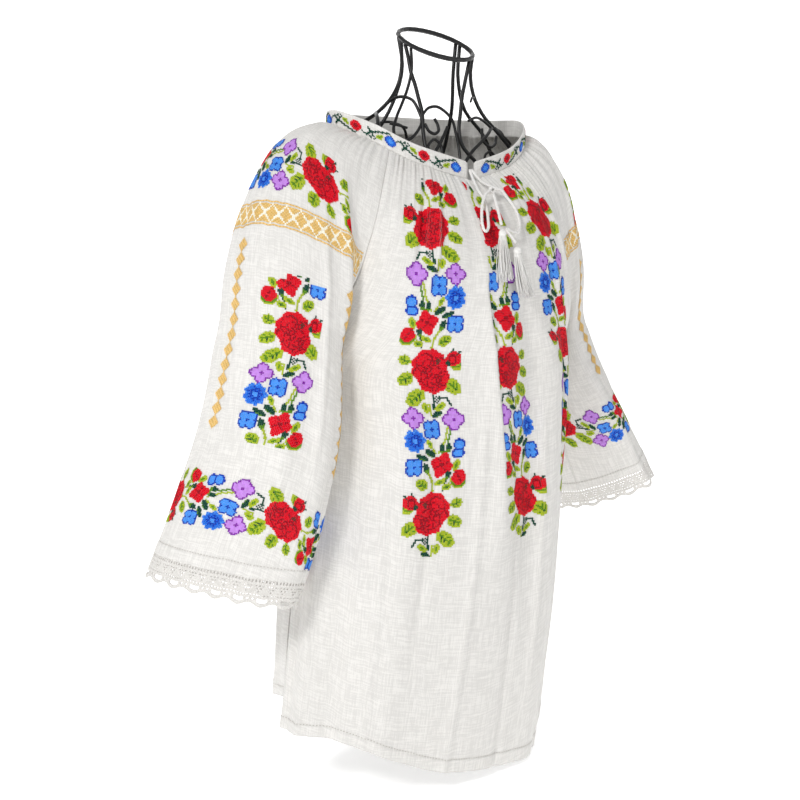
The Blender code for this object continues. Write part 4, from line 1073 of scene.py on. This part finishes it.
def hem_stitches(surface, place, half):
    """Lay one row of short running stitches along a hem at one row of the cloth."""
    down, across, grid, side = surface
    row = read_grid(grid, down, across, np.full(len(across), place), across)
    long = np.concatenate([[0.0], np.cumsum(np.linalg.norm(np.diff(row, axis=0), axis=-1))])
    count = int(long[-1] / 0.0016)
    at = np.interp(np.linspace(0.0, long[-1], count + 1), long, across)
    places = np.repeat([[place - half, place + half]], count + 1, axis=0), np.repeat(at[:, None], 2, 1)
    corner = read_grid(grid, down, across, *places)
    normal = read_grid(grid_normals(grid) * side, down, across, *places)
    chart = np.zeros((count, 1), int)
    # Every second stitch takes the grey seam floss: painted shade on white thread.
    chart[::2] = SEAM
    return stitch_arms(chart, corner, normal, chart > 0)


# Where the four front bands run, as (down, across)
BAND_LINES = (
    np.array([(0.0, -1.40), (0.30, -1.20), (0.36, -1.03), (0.5, -0.93), (1.0, -0.92)]),
    np.array([(0.0, -0.56), (0.12, -0.55), (0.24, -0.46), (0.36, -0.345), (0.48, -0.312), (1.0, -0.30)]),
    np.array([(0.0, -0.18), (0.10, -0.16), (0.22, -0.10), (0.29, -0.044), (0.45, 0.067), (0.59, 0.14),
              (1.0, 0.14)]),
    np.array([(0.0, 0.50), (0.12, 0.50), (0.29, 0.45), (0.42, 0.50), (0.58, 0.57), (1.0, 0.57)]),
)
BAND_FIRSTS = (0.015, 0.015, 0.004, 0.004)


def embroider_front(surface, floss):
    """Embroider the four bands of the front, mirrored about its middle."""
    parts = []
    for number, (line, first) in enumerate(zip(BAND_LINES, BAND_FIRSTS)):
        mirrored = number > 1
        chart = floral_strip(REPEAT_ROWS - 27, 4 * REPEAT_ROWS + 44)[:REPEAT_ROWS * 2 + 71].copy()
        chart[:5] = 0
        chart[:17, :14] = 0
        chart[-12:][(chart[-12:] == LILAC) | (chart[-12:] == PLUM)] = 0
        if mirrored:
            chart = chart[:, ::-1]
        places = upright_band(surface, chart, line, first, STITCH, STITCH, 0.47)
        low = FRONT_FOLD_EDGE if number == 2 else None
        parts.append(stitched(surface, chart, places, low))
    parts.append(hem_stitches(surface, HEM_LINE, 0.0007))
    return add_needlework("front_needlework", parts, floss)


def embroider_collar(floss):
    """Embroider the vine round the neck band, mirrored at its split."""
    parts = []
    chart = vine_chart(VINE_UNITS)
    rows = np.arange(chart.shape[0] + 1)
    for turn in (1.0, -1.0):
        angle = np.linspace(COLLAR_SPLIT, np.pi, 721)
        line = collar_point(angle, 0.0)
        long = np.concatenate([[0.0], np.cumsum(np.linalg.norm(np.diff(line, axis=0), axis=1))])
        at = np.interp(0.0085 + (long[-1] - 0.0085) / chart.shape[0] * rows, long, angle) * turn
        up = np.linspace(0.0078, -0.0078, 13)
        corner = np.stack([collar_point(at, height) for height in up], axis=1)
        ahead = unit(np.gradient(corner, axis=0)) * turn
        normal = unit(np.cross(ahead, np.array([0.0, 0.0, 1.0])))
        corner = corner + normal * (COLLAR_THICK / 2 + 0.0006)
        parts.append(stitch_arms(chart, corner, normal, chart > 0))
    return add_needlework("neck_needlework", parts, floss)


# Each sleeve's needlework: shoulder middle and first place, gold middle, upright band's first row and line,
# front and back gold columns as (first length, count, line), cuff middle, its rose's place, stitch length
SLEEVE_WORK = {
    "sleeve_right": (0.088, 0.19, 0.140, 0.177, np.array([(0.3, 0.400), (0.55, 0.447), (0.7, 0.467)]),
                     ((0.172, 13, np.array([(0.25, 0.200), (0.7, 0.205)])),
                      (0.166, 13, np.array([(0.27, 0.587), (0.67, 0.633)]))), 0.416, 0.393, 0.00128),
    "sleeve_left": (0.080, 0.19, 0.130, 0.150, np.array([(0.3, 0.440), (0.55, 0.440), (0.7, 0.440)]),
                    ((0.153, 10, np.array([(0.25, 0.262), (0.7, 0.250)])),
                     (0.153, 10, np.array([(0.27, 0.620), (0.67, 0.620)]))), 0.353, 0.010, 0.00120),
}


def embroider_sleeve(name, surface, floss):
    """Embroider a sleeve: shoulder band, gold band, upright band between gold columns, and cuff band."""
    shoulder, start, gold, first, line, columns, cuff, rose, pitch = SLEEVE_WORK[name]
    parts = []
    chart = floral_strip(-8, 128)
    parts.append(stitched(surface, chart, level_band(surface, chart, shoulder, start, 0.00131, 0.00145)))
    chart = diamond_band(160)
    parts.append(stitched(surface, chart, level_band(surface, chart, gold, 0.02, STITCH, 0.00150, 0.03)))
    chart = floral_strip(61, 186).copy()
    chart[:9] = 0
    chart[:13, :13] = 0
    chart[:13, 27:] = 0
    parts.append(stitched(surface, chart, upright_band(surface, chart, line, first, 0.00140, 0.00135)))
    for start, count, place in columns:
        chart = diamond_column(count)
        parts.append(stitched(surface, chart, upright_band(surface, chart, place, start, 0.00139, 0.00165)))
    low = int(rose * SLEEVE_CUT[0] / pitch)
    chart = floral_strip(14 - low, 14 + int((1 - rose) * SLEEVE_CUT[0] / pitch))
    parts.append(stitched(surface, chart, level_band(surface, chart, cuff, 0.0, pitch, 0.00137)))
    parts.append(hem_stitches(surface, CUFF_LINE, 0.0009))
    return add_needlework(name + "_needlework", parts, floss)


# Cuff lace

LACE_TALL = 0.0270
LACE_SCALLOPS = 16
LACE_CELLS = 14
LACE_ROWS = 21


def lace_pattern():
    """Chart one repeat of the lace: True where there is thread, by rows down and columns across.

    A ladder of slots at the top, two triangles of small holes, a row of holes, and one slot in
    each scallop.
    """
    kept = np.ones((LACE_ROWS, LACE_CELLS), bool)
    kept[1:3, 1::2] = False
    for middle, reach in ((3, 2), (10, 2)):
        for row in range(3):
            width = reach - row
            kept[5 + 2 * row, middle - width:middle + width + 1] = False
            kept[5 + 2 * row, middle - width + 1:middle + width:2] = True
    kept[12, 0::2] = False
    kept[15:18, 4:10] = False
    kept[16:18, 1:2] = kept[16:18, 12:13] = False
    return kept


def build_lace(name, surface, cotton):
    """Build one cuff's lace: a strip below the cuff's last row, with holes left out and a scalloped edge."""
    down, around, grid, side = surface
    rim, above = grid[-1], grid[-6]
    along = np.concatenate([[0.0], np.cumsum(np.linalg.norm(np.diff(rim, axis=0), axis=1))])
    columns = LACE_SCALLOPS * LACE_CELLS + 1
    at = np.linspace(0.0, along[-1], columns)
    top = np.stack([np.interp(at, along, rim[:, axis]) for axis in range(3)], axis=-1)
    fall = np.stack([np.interp(at, along, unit(rim - above)[:, axis]) for axis in range(3)], axis=-1)
    fall = unit(fall)
    place = (np.arange(columns) % LACE_CELLS) / LACE_CELLS
    dip = 0.0040 * np.abs(np.cos(np.pi * place)) ** 2.2
    depth = np.linspace(-0.0012, LACE_TALL, LACE_ROWS + 1)[:, None]
    share = ease((depth - 0.012) / 0.015)
    ripple = 0.0009 * np.sin(at / along[-1] * 2 * np.pi * 9)[None, :] * ease(depth / 0.02)
    points = top[None] + fall[None] * (depth - dip[None, :] * share)[..., None]
    outward = unit(np.cross(np.gradient(top, axis=0), fall)) * side
    points = points + outward[None] * (ripple - 0.0004)[..., None]
    kept = np.tile(lace_pattern(), (1, LACE_SCALLOPS))
    faces = grid_faces(*points.shape[:2], kept=kept, turned=side < 0)
    piece = add_piece(name, points, faces, cotton, smooth=False)
    solid = piece.modifiers.new("thickness", "SOLIDIFY")
    solid.thickness = 0.0008
    solid.offset = 0.0
    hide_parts(name + "_front", name + "_back")
    return piece


# Tie cords, knot and tassels

CORD_WIDE = 0.0030
SLIDE = 0.010
NEAR_LOOP = ((-0.0012, -0.0775, 0.6270), (-0.0035, -0.0860, 0.6170),
             (-0.0075, -0.0970, 0.6080), (-0.0125, -0.1140, 0.5950),
             (-0.0190, -0.1265, 0.5790), (-0.0250, -0.1330, 0.5680), (-0.0290, -0.1340, 0.5660),
             (-0.0300, -0.1320, 0.5710), (-0.0260, -0.1255, 0.5820), (-0.0190, -0.1190, 0.5950),
             (-0.0110, -0.1150, 0.6035), (-0.0050, -0.1140, 0.6062))
FAR_LOOP = ((0.0014, -0.0775, 0.6270), (0.0008, -0.0880, 0.6175), (-0.0010, -0.1010, 0.6125),
            (0.0010, -0.1120, 0.6085), (0.0080, -0.1120, 0.6070), (0.0150, -0.1150, 0.5990),
            (0.0205, -0.1225, 0.5850), (0.0180, -0.1300, 0.5720), (0.0090, -0.1360, 0.5650),
            (0.0000, -0.1370, 0.5670), (-0.0060, -0.1365, 0.5700))
FAR_DROP = ((-0.0060, -0.1400, 0.5660), (-0.0045, -0.1445, 0.5610), (-0.0035, -0.1485, 0.5560))
DROP_PAIR = ((-0.0050, -0.1180, 0.6020), (-0.0090, -0.1280, 0.5900), (-0.0140, -0.1400, 0.5730))
UPPER_KNOT = (-0.0030, -0.1130, 0.6065)
NEAR_TASSEL = (-0.0155, -0.1435, 0.5690)
FAR_TASSEL = (-0.0030, -0.1505, 0.5525)


def route(points, count):
    """Read evenly placed points from one smooth curve through a route's own points."""
    points = np.asarray(points, float)
    along = np.concatenate([[0.0], np.cumsum(np.linalg.norm(np.diff(points, axis=0), axis=1))])
    return curve_through(along, points, np.linspace(0.0, along[-1], count))


def lie_on(points, surface, clear, most=0.0):
    """Bring points to a clear distance from the cloth.

    Points that are too far are slid along the photograph's line of sight, by at most a given length, so
    that they keep their place in the picture. Points that are too close are pushed out along the normal.
    """
    down, across, grid, side = surface
    area = grid[down < 0.45]
    normal = grid_normals(area) * side
    moved = np.array(points, float).reshape(-1, 3)
    for number, point in enumerate(moved):
        sight = unit(point - eye_point())
        slid = 0.0
        for _ in range(4):
            gap = np.linalg.norm(area - point, axis=-1)
            i, j = np.unravel_index(gap.argmin(), gap.shape)
            high = (point - area[i, j]) @ normal[i, j]
            if high < clear:
                point = point + normal[i, j] * (clear - high)
            else:
                step = min((high - clear) / max(-sight @ normal[i, j], 0.3), most - slid)
                slid = slid + step
                point = point + sight * step
        moved[number] = point
    return moved.reshape(np.shape(points))


def tube(path, radius, sides, twist=0.0, plies=0, closed=False):
    """Carry a ring along a path: its radius can swell in plies that turn round the path by twist."""
    path = np.asarray(path, float)
    ahead = unit(np.roll(path, -1, 0) - np.roll(path, 1, 0)) if closed else unit(np.gradient(path, axis=0))
    guide = np.array([0.13, 0.21, 1.0]) if np.abs(ahead[:, 2]).mean() < 0.6 else np.array([0.2, 1.0, 0.1])
    side = unit(np.cross(ahead, guide))
    over = np.cross(side, ahead)
    angle = np.arange(sides) * 2 * np.pi / sides
    steps = np.concatenate([[0.0], np.cumsum(np.linalg.norm(np.diff(path, axis=0), axis=1))])
    swell = np.ones((len(path), sides))
    if plies:
        swell = 0.66 + 0.38 * np.abs(np.cos(plies / 2 * (angle[None, :] - twist * steps[:, None])))
    ring = (np.asarray(radius, float) * np.ones(len(path)))[:, None] * swell
    return path[:, None] + ring[..., None] * (np.cos(angle)[None, :, None] * side[:, None]
                                              + np.sin(angle)[None, :, None] * over[:, None])


def tube_faces(rings, sides, closed=False):
    """List a tube's faces, with a cap at each open end."""
    number = np.arange(rings * sides).reshape(rings, sides)
    number = np.concatenate([number, number[:, :1]], axis=1)
    if closed:
        number = np.concatenate([number, number[:1]])
    faces = np.stack([number[:-1, :-1], number[:-1, 1:], number[1:, 1:], number[1:, :-1]],
                     axis=-1).reshape(-1, 4).tolist()
    if not closed:
        faces.append(list(range(sides))[::-1])
        faces.append(list(range((rings - 1) * sides, rings * sides)))
    return faces


def add_twisted_cord(name, points, count, cotton, front, nodes):
    path = route(points, count)
    along = np.linspace(0.0, len(path) * 0.0018, len(path))[:, None]
    held = ease(along / 0.030) if points[0][2] > 0.62 else 1.0
    path = path + (lie_on(path, front, 0.0022, SLIDE) - path) * held
    for _ in range(4):
        path[1:-1] = (path[:-2] + 2 * path[1:-1] + path[2:]) / 4
    sides = 16
    rings = tube(path, CORD_WIDE / 2, sides, twist=2 * np.pi / 0.0052, plies=4)
    piece = add_piece(name, rings, tube_faces(len(path), sides), cotton)
    fix_normals(piece)
    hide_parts(*nodes)
    return piece


def build_knot(cotton, front):
    """Build the knot: a short twisted cord wound once over itself."""
    angle = np.linspace(0, 2 * np.pi * 1.9, 70)
    path = np.stack([0.0030 * np.cos(angle) * (1 - 0.2 * angle / 12),
                     -0.0016 * np.cos(angle * 0.5) - 0.0004,
                     0.0026 * np.sin(angle)], axis=-1) + lie_on(UPPER_KNOT, front, 0.0035, SLIDE)
    rings = tube(path, CORD_WIDE / 2 * 0.95, 12, twist=2 * np.pi / 0.0052, plies=4)
    piece = add_piece("tie_knot", rings, tube_faces(len(path), 12), cotton)
    fix_normals(piece)
    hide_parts("tie_knot_upper")
    return piece


TASSEL_LONG = 0.0395
TASSEL_HEAD = 0.010


def build_tassel(name, top, lean, cotton, front, node, seed):
    """Build a tassel: a bound head and a skirt of fine strands that hang and part below it.

    Each strand leaves the head inside its rim and falls with a small seeded bend and length.
    """
    draw = np.random.default_rng(seed)
    strands, steps, sides = 90, 9, 3
    top = lie_on(top, front, 0.0045, SLIDE)
    part = np.linspace(0.0, 1.0, steps)
    turn = draw.uniform(0, 2 * np.pi, strands)
    radius = 0.0034 * np.sqrt(draw.uniform(0.02, 1.0, strands))
    start = np.stack([radius * np.cos(turn), 0.8 * radius * np.sin(turn), np.full(strands, -0.0060)], axis=-1)
    long = TASSEL_LONG * draw.uniform(0.90, 1.03, strands) + 0.004
    flare = np.stack([np.cos(turn) * radius * 1.9, np.sin(turn) * radius * 1.1, 0 * radius], axis=-1)
    sway = draw.normal(0, 0.0011, (strands, 3)) * np.array([1, 0.6, 0])
    path = (start[:, None] + flare[:, None] * (part ** 1.2)[None, :, None]
            + sway[:, None] * np.sin(part * 3.0)[None, :, None]
            + np.array([lean, 0.0, 0.0]) * (part ** 1.3)[None, :, None]
            - np.array([0, 0, 1.0]) * (part[None, :] * long[:, None])[..., None])
    path = lie_on(path + top, front, 0.0006) - top
    angle = np.arange(sides) * 2 * np.pi / sides
    ring = 0.00050 * np.stack([np.cos(angle), np.sin(angle), 0 * angle], axis=-1)
    points = (path[:, :, None] + ring[None, None]).reshape(-1, 3)
    faces = []
    one = tube_faces(steps, sides)
    for strand in range(strands):
        shift = strand * steps * sides
        faces += [[index + shift for index in face] for face in one]
    rows = np.linspace(0.0, 1.0, 15)
    width = np.interp(rows, [0, 0.08, 0.25, 0.55, 0.62, 0.70, 0.78, 0.86, 1.0],
                      [0.0008, 0.0024, 0.0038, 0.0041, 0.0033, 0.0036, 0.0033, 0.0036, 0.0034])
    sides = 18
    angle = np.arange(sides) * 2 * np.pi / sides
    ribs = 1 + 0.05 * np.cos(9 * angle)[None, :]
    head = np.stack([width[:, None] * ribs * np.cos(angle), 0.8 * width[:, None] * ribs * np.sin(angle),
                     np.repeat(-rows[:, None] * TASSEL_HEAD, sides, 1)], axis=-1)
    first = len(points)
    points = np.concatenate([points, head.reshape(-1, 3)])
    faces += [[index + first for index in face] for face in tube_faces(15, sides)]
    piece = add_piece(name, points + top, faces, cotton)
    fix_normals(piece)
    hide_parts(node)
    return piece


def build_tie(cotton, front):
    """Build the drawstring's bow: knot, two loops, two drops and their tassels."""
    knot = build_knot(cotton, front)
    near = build_tassel("tassel_near_strands", NEAR_TASSEL, 0.003, cotton, front, "tassel_near", 21)
    far = build_tassel("tassel_far_strands", FAR_TASSEL, 0.012, cotton, front, "tassel_far", 22)
    add_twisted_cord("tie_near", NEAR_LOOP, 76, cotton, front, ["tie_loop_near"])
    add_twisted_cord("tie_far", FAR_LOOP + FAR_DROP, 84, cotton, front, ["tie_loop_far", "tie_drop_far"])
    add_twisted_cord("tie_drop", DROP_PAIR, 24, cotton, front, ["tie_drop_near"])


# The wire form

WIRE_RADIUS = 0.0020
NECK_RING_RADIUS = 0.040
NECK_RING_CENTRE = (0.014, -0.005, 0.757)
NECK_RING_TILT = radians(29.0)
NECK_FLOW = (0.600, 0.140)
BASE_TALL = 0.0040
BASE_CENTRE = (0.025, 0.000)
TABLE = 0.014
# Sections of the form: half width, front depth, back depth, height at side, front and back
FORM_LEVELS = np.array([
    (0.037, 0.034, 0.030, 0.735, 0.722, 0.740), (0.042, 0.037, 0.031, 0.712, 0.696, 0.714),
    (0.060, 0.044, 0.034, 0.690, 0.668, 0.690), (0.092, 0.054, 0.040, 0.670, 0.636, 0.664),
    (0.122, 0.070, 0.056, 0.642, 0.598, 0.630), (0.142, 0.098, 0.080, 0.580, 0.550, 0.580),
    (0.140, 0.112, 0.088, 0.490, 0.490, 0.490), (0.116, 0.092, 0.076, 0.350, 0.350, 0.350),
    (0.130, 0.100, 0.084, 0.220, 0.220, 0.220), (0.102, 0.082, 0.074, 0.090, 0.090, 0.090),
    (0.050, 0.050, 0.050, 0.020, 0.020, 0.020),
])


def form_level(level, angle):
    """Give the point of one of the form's sections at an angle from the front."""
    half_width, front, back, side_z, front_z, back_z = level
    depth, end_z = (front, front_z) if np.cos(angle) > 0 else (back, back_z)
    height = side_z + (end_z - side_z) * np.cos(angle) ** 2
    flow = float(ease(np.array((height - NECK_FLOW[0]) / NECK_FLOW[1])))
    return np.array([half_width * np.sin(angle) + NECK_RING_CENTRE[0] * flow,
                     -depth * np.cos(angle) + NECK_RING_CENTRE[1] * flow, height])


def form_profile(angle):
    """Give the form's outline down from the neck ring at an angle from the front."""
    ring = np.array([NECK_RING_RADIUS * np.sin(angle),
                     -NECK_RING_RADIUS * np.cos(angle) * np.cos(NECK_RING_TILT),
                     -NECK_RING_RADIUS * np.cos(angle) * np.sin(NECK_RING_TILT)]) + np.array(NECK_RING_CENTRE)
    return np.array([ring] + [form_level(level, angle) for level in FORM_LEVELS[:6]])


def on_neck(angle, share):
    """Give the point a share of the way down the form's outline at an angle from the front."""
    profile = form_profile(np.radians(angle))
    long = np.concatenate([[0.0], np.cumsum(np.linalg.norm(np.diff(profile, axis=0), axis=1))])
    return curve_through(long, profile, np.array([share * long[-1]]))[0]


# Each rib's angle from the front, and the (angle, share of the way down) points that its neck passes
RIB_NECKS = (
    ("form_rib_1", 22.5, ((30, 0.01), (20, 0.13), (14, 0.18), (8, 0.27), (4, 0.35), (5, 0.42), (16, 0.54))),
    ("form_rib_2", 67.5, ((56, 0.01), (56, 0.09), (58, 0.17), (62, 0.25), (63, 0.33), (62, 0.42),
                          (60, 0.54))),
    ("form_rib_3", 112.5, ((104, 0.01), (106, 0.16), (110, 0.32), (112, 0.54))),
    ("form_rib_4", 157.5, ((112, 0.01), (116, 0.16), (130, 0.36), (148, 0.56))),
    ("form_rib_5", -157.5, ((-128, 0.01), (-132, 0.16), (-142, 0.36), (-152, 0.56))),
    ("form_rib_6", -112.5, ((-116, 0.01), (-120, 0.12), (-121, 0.21), (-116, 0.30), (-108, 0.40),
                            (-104, 0.54))),
    ("form_rib_7", -67.5, ((-100, 0.01), (-108, 0.06), (-120, 0.13), (-122, 0.20), (-116, 0.28), (-112, 0.34),
                           (-104, 0.38), (-84, 0.40), (-70, 0.45), (-60, 0.54))),
    ("form_rib_8", -22.5, ((-88, 0.01), (-85, 0.06), (-78, 0.12), (-64, 0.17), (-54, 0.22), (-42, 0.29),
                           (-32, 0.40), (-23, 0.52))),
)
# Thickness, then the (angle, share) points of each scroll welded between the ribs
SCROLLS = (
    (0.0016, (-108, 0.37), (-104, 0.31), (-80, 0.25), (-60, 0.245), (-46, 0.29), (-38, 0.34), (-37, 0.40),
     (-39, 0.46), (-43, 0.49), (-48, 0.49), (-54, 0.45), (-62, 0.37), (-70, 0.27), (-75, 0.20), (-77, 0.10),
     (-75, 0.01)),
    (0.0013, (-62, 0.42), (-54, 0.41), (-46, 0.405)),
    (0.0015, (-40, 0.31), (-36, 0.26), (-27, 0.245), (-16, 0.26), (-5, 0.30), (0, 0.37), (2, 0.44),
     (2, 0.53)),
    (0.0016, (-34, 0.35), (-27, 0.385), (-22, 0.39), (-19, 0.37), (-21, 0.34), (-26, 0.31)),
    (0.0015, (-22, 0.51), (-24, 0.46), (-20, 0.42), (-15, 0.44), (-12, 0.52)),
    (0.0017, (-10, 0.34), (-14, 0.41), (-18, 0.49)),
    (0.0018, (56, 0.40), (42, 0.41), (28, 0.43), (14, 0.47), (6, 0.52)),
    (0.0014, (50, 0.03), (52, 0.13), (56, 0.22), (60, 0.30), (62, 0.40)),
    (0.0011, (34, 0.22), (44, 0.205), (52, 0.215)),
    (0.0014, (20, 0.31), (36, 0.305), (50, 0.34), (57, 0.41)),
    (0.0015, (38, 0.37), (31, 0.43), (34, 0.47), (42, 0.475), (52, 0.45)),
    (0.0014, (22, 0.54), (26, 0.50), (32, 0.495), (36, 0.54)),
    (0.0018, (62, 0.43), (66, 0.50), (72, 0.56)), (0.0018, (64, 0.42), (78, 0.50), (86, 0.56)),
    (0.0016, (-106, 0.39), (-96, 0.45), (-86, 0.50)),
)
# The same scrolls, low on the back of the neck
BACK_SCROLLS = (0, 2)


def smooth_wire(points, radius, sides=8):
    """Carry a round wire through points, and give its rings' points and faces."""
    path = route(points, 8 * len(points))
    return tube(path, radius, sides).reshape(-1, 3), tube_faces(len(path), sides)


def build_form(wire):
    """Build the ribs with their bent necks, the scrolls between them, and paint what stays of the form."""
    for name, angle, neck in RIB_NECKS:
        low = [form_level(level, np.radians(angle)) for level in FORM_LEVELS[5:]]
        low[-1] = low[-1] + np.array([*BASE_CENTRE, 0.0])
        low[-1][2] = TABLE + BASE_TALL + WIRE_RADIUS * 0.9
        points, faces = smooth_wire([on_neck(turn, share) for turn, share in neck] + low, WIRE_RADIUS)
        piece = add_piece(name.replace("form", "wire"), points, faces, wire)
        fix_normals(piece)
        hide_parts(name)
    points, faces, first = [], [], 0
    scrolls = [(radius, places) for radius, *places in SCROLLS]
    scrolls += [(SCROLLS[number][0], [(180 - turn, 0.46 + 0.6 * (share - 0.25))
                                      for turn, share in SCROLLS[number][1:]]) for number in BACK_SCROLLS]
    for radius, places in scrolls:
        more, quads = smooth_wire([on_neck(turn, max(share, 0.0)) for turn, share in places], radius)
        points.append(more)
        faces += [[index + first for index in face] for face in quads]
        first += len(more)
    fix_normals(add_piece("wire_scrolls", np.concatenate(points), faces, wire))
    for name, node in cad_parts.items():
        if name.startswith("form_"):
            node.data.materials.clear()
            node.data.materials.append(wire)


# Floor, light and the order of work

def build_stage():
    """Lay a pale floor that turns up into a backdrop."""
    angle = np.linspace(0, np.pi / 2, 13)
    bend = np.stack([2.2 + 0.8 * np.sin(angle), 0.8 * (1 - np.cos(angle))], axis=-1)
    profile = np.concatenate([[[-3.0, 0.0]], bend, [[3.0, 3.2]]])
    turn = np.array([np.sin(CAMERA_TURN), np.cos(CAMERA_TURN)])
    aside = np.array([np.cos(CAMERA_TURN), -np.sin(CAMERA_TURN)])
    points = []
    for wide in (-4.0, 4.0):
        for ahead, up in profile:
            points.append([*(turn * ahead + aside * wide), up])
    count = len(profile)
    faces = [[i, i + 1, count + i + 1, count + i] for i in range(count - 1)]
    mesh = bpy.data.meshes.new("floor")
    mesh.from_pydata(points, [], faces)
    mesh.shade_smooth()
    finish, _, shader = new_finish("glowing_pale_paper", "FCFCFC", 0.9)
    # The paper glows though it is no lamp: painted light that keeps it white and lights the blouse from
    # below.
    shader.inputs["Emission Color"].default_value = (1.0, 1.0, 1.0, 1.0)
    shader.inputs["Emission Strength"].default_value = 0.55
    mesh.materials.append(finish)
    floor = bpy.data.objects.new("floor", mesh)
    bpy.context.scene.collection.objects.link(floor)


def add_area_light(name, place, aim, size, power):
    """Hang a soft square light at a place, aimed at a point."""
    data = bpy.data.lights.new(name, "AREA")
    data.size = size
    data.energy = power
    lamp = bpy.data.objects.new(name, data)
    lamp.location = place
    lamp.rotation_euler = (Vector(aim) - Vector(place)).to_track_quat("-Z", "Y").to_euler()
    bpy.context.scene.collection.objects.link(lamp)


def build_light():
    """Set the pale surround and three soft lights, with colours shown as they are."""
    bpy.context.scene.view_settings.view_transform = "Standard"
    world = bpy.data.worlds.new("surround")
    bpy.context.scene.world = world
    world.use_nodes = True
    shade = world.node_tree.nodes["Background"]
    shade.inputs["Color"].default_value = (1.0, 1.0, 1.0, 1.0)
    shade.inputs["Strength"].default_value = 0.40
    add_area_light("key", (-2.3, -1.1, 2.2), (0.0, 0.0, 0.40), 0.6, 44.0)
    add_area_light("fill", (1.4, -2.0, 1.2), (0.0, 0.0, 0.40), 1.6, 4.0)
    add_area_light("back", (0.9, 1.8, 1.6), (0.0, 0.0, 0.45), 1.4, 8.0)


def main():
    """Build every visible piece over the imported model."""
    place_camera()
    linen = woven_linen()
    # The lace yarn is the same white cotton as the cord, but its colour and fuzz are greyer: painted shade.
    lace = spun_cotton("cotton_lace_yarn_painted_shade", "EEECE8", "BFBBB5", 0.85)
    cotton = spun_cotton("cotton_cord_yarn", "FAF9F7", "DDDAD5", 0.80)
    wire = black_wire()
    surfaces = blouse_surfaces()
    build_tie(cotton, surfaces["front"])
    build_blouse(surfaces, linen)
    build_collar(linen)
    floss = embroidery_floss()
    embroider_collar(floss)
    embroider_front(surfaces["front"], floss)
    add_needlework("back_needlework", [hem_stitches(surfaces["back"], HEM_LINE, 0.0007)], floss)
    for name in ("sleeve_right", "sleeve_left"):
        embroider_sleeve(name, surfaces[name], floss)
    build_lace("lace_right", surfaces["sleeve_right"], lace)
    build_lace("lace_left", surfaces["sleeve_left"], lace)
    build_form(wire)
    build_stage()
    build_light()
    bpy.context.view_layer.update()


main()
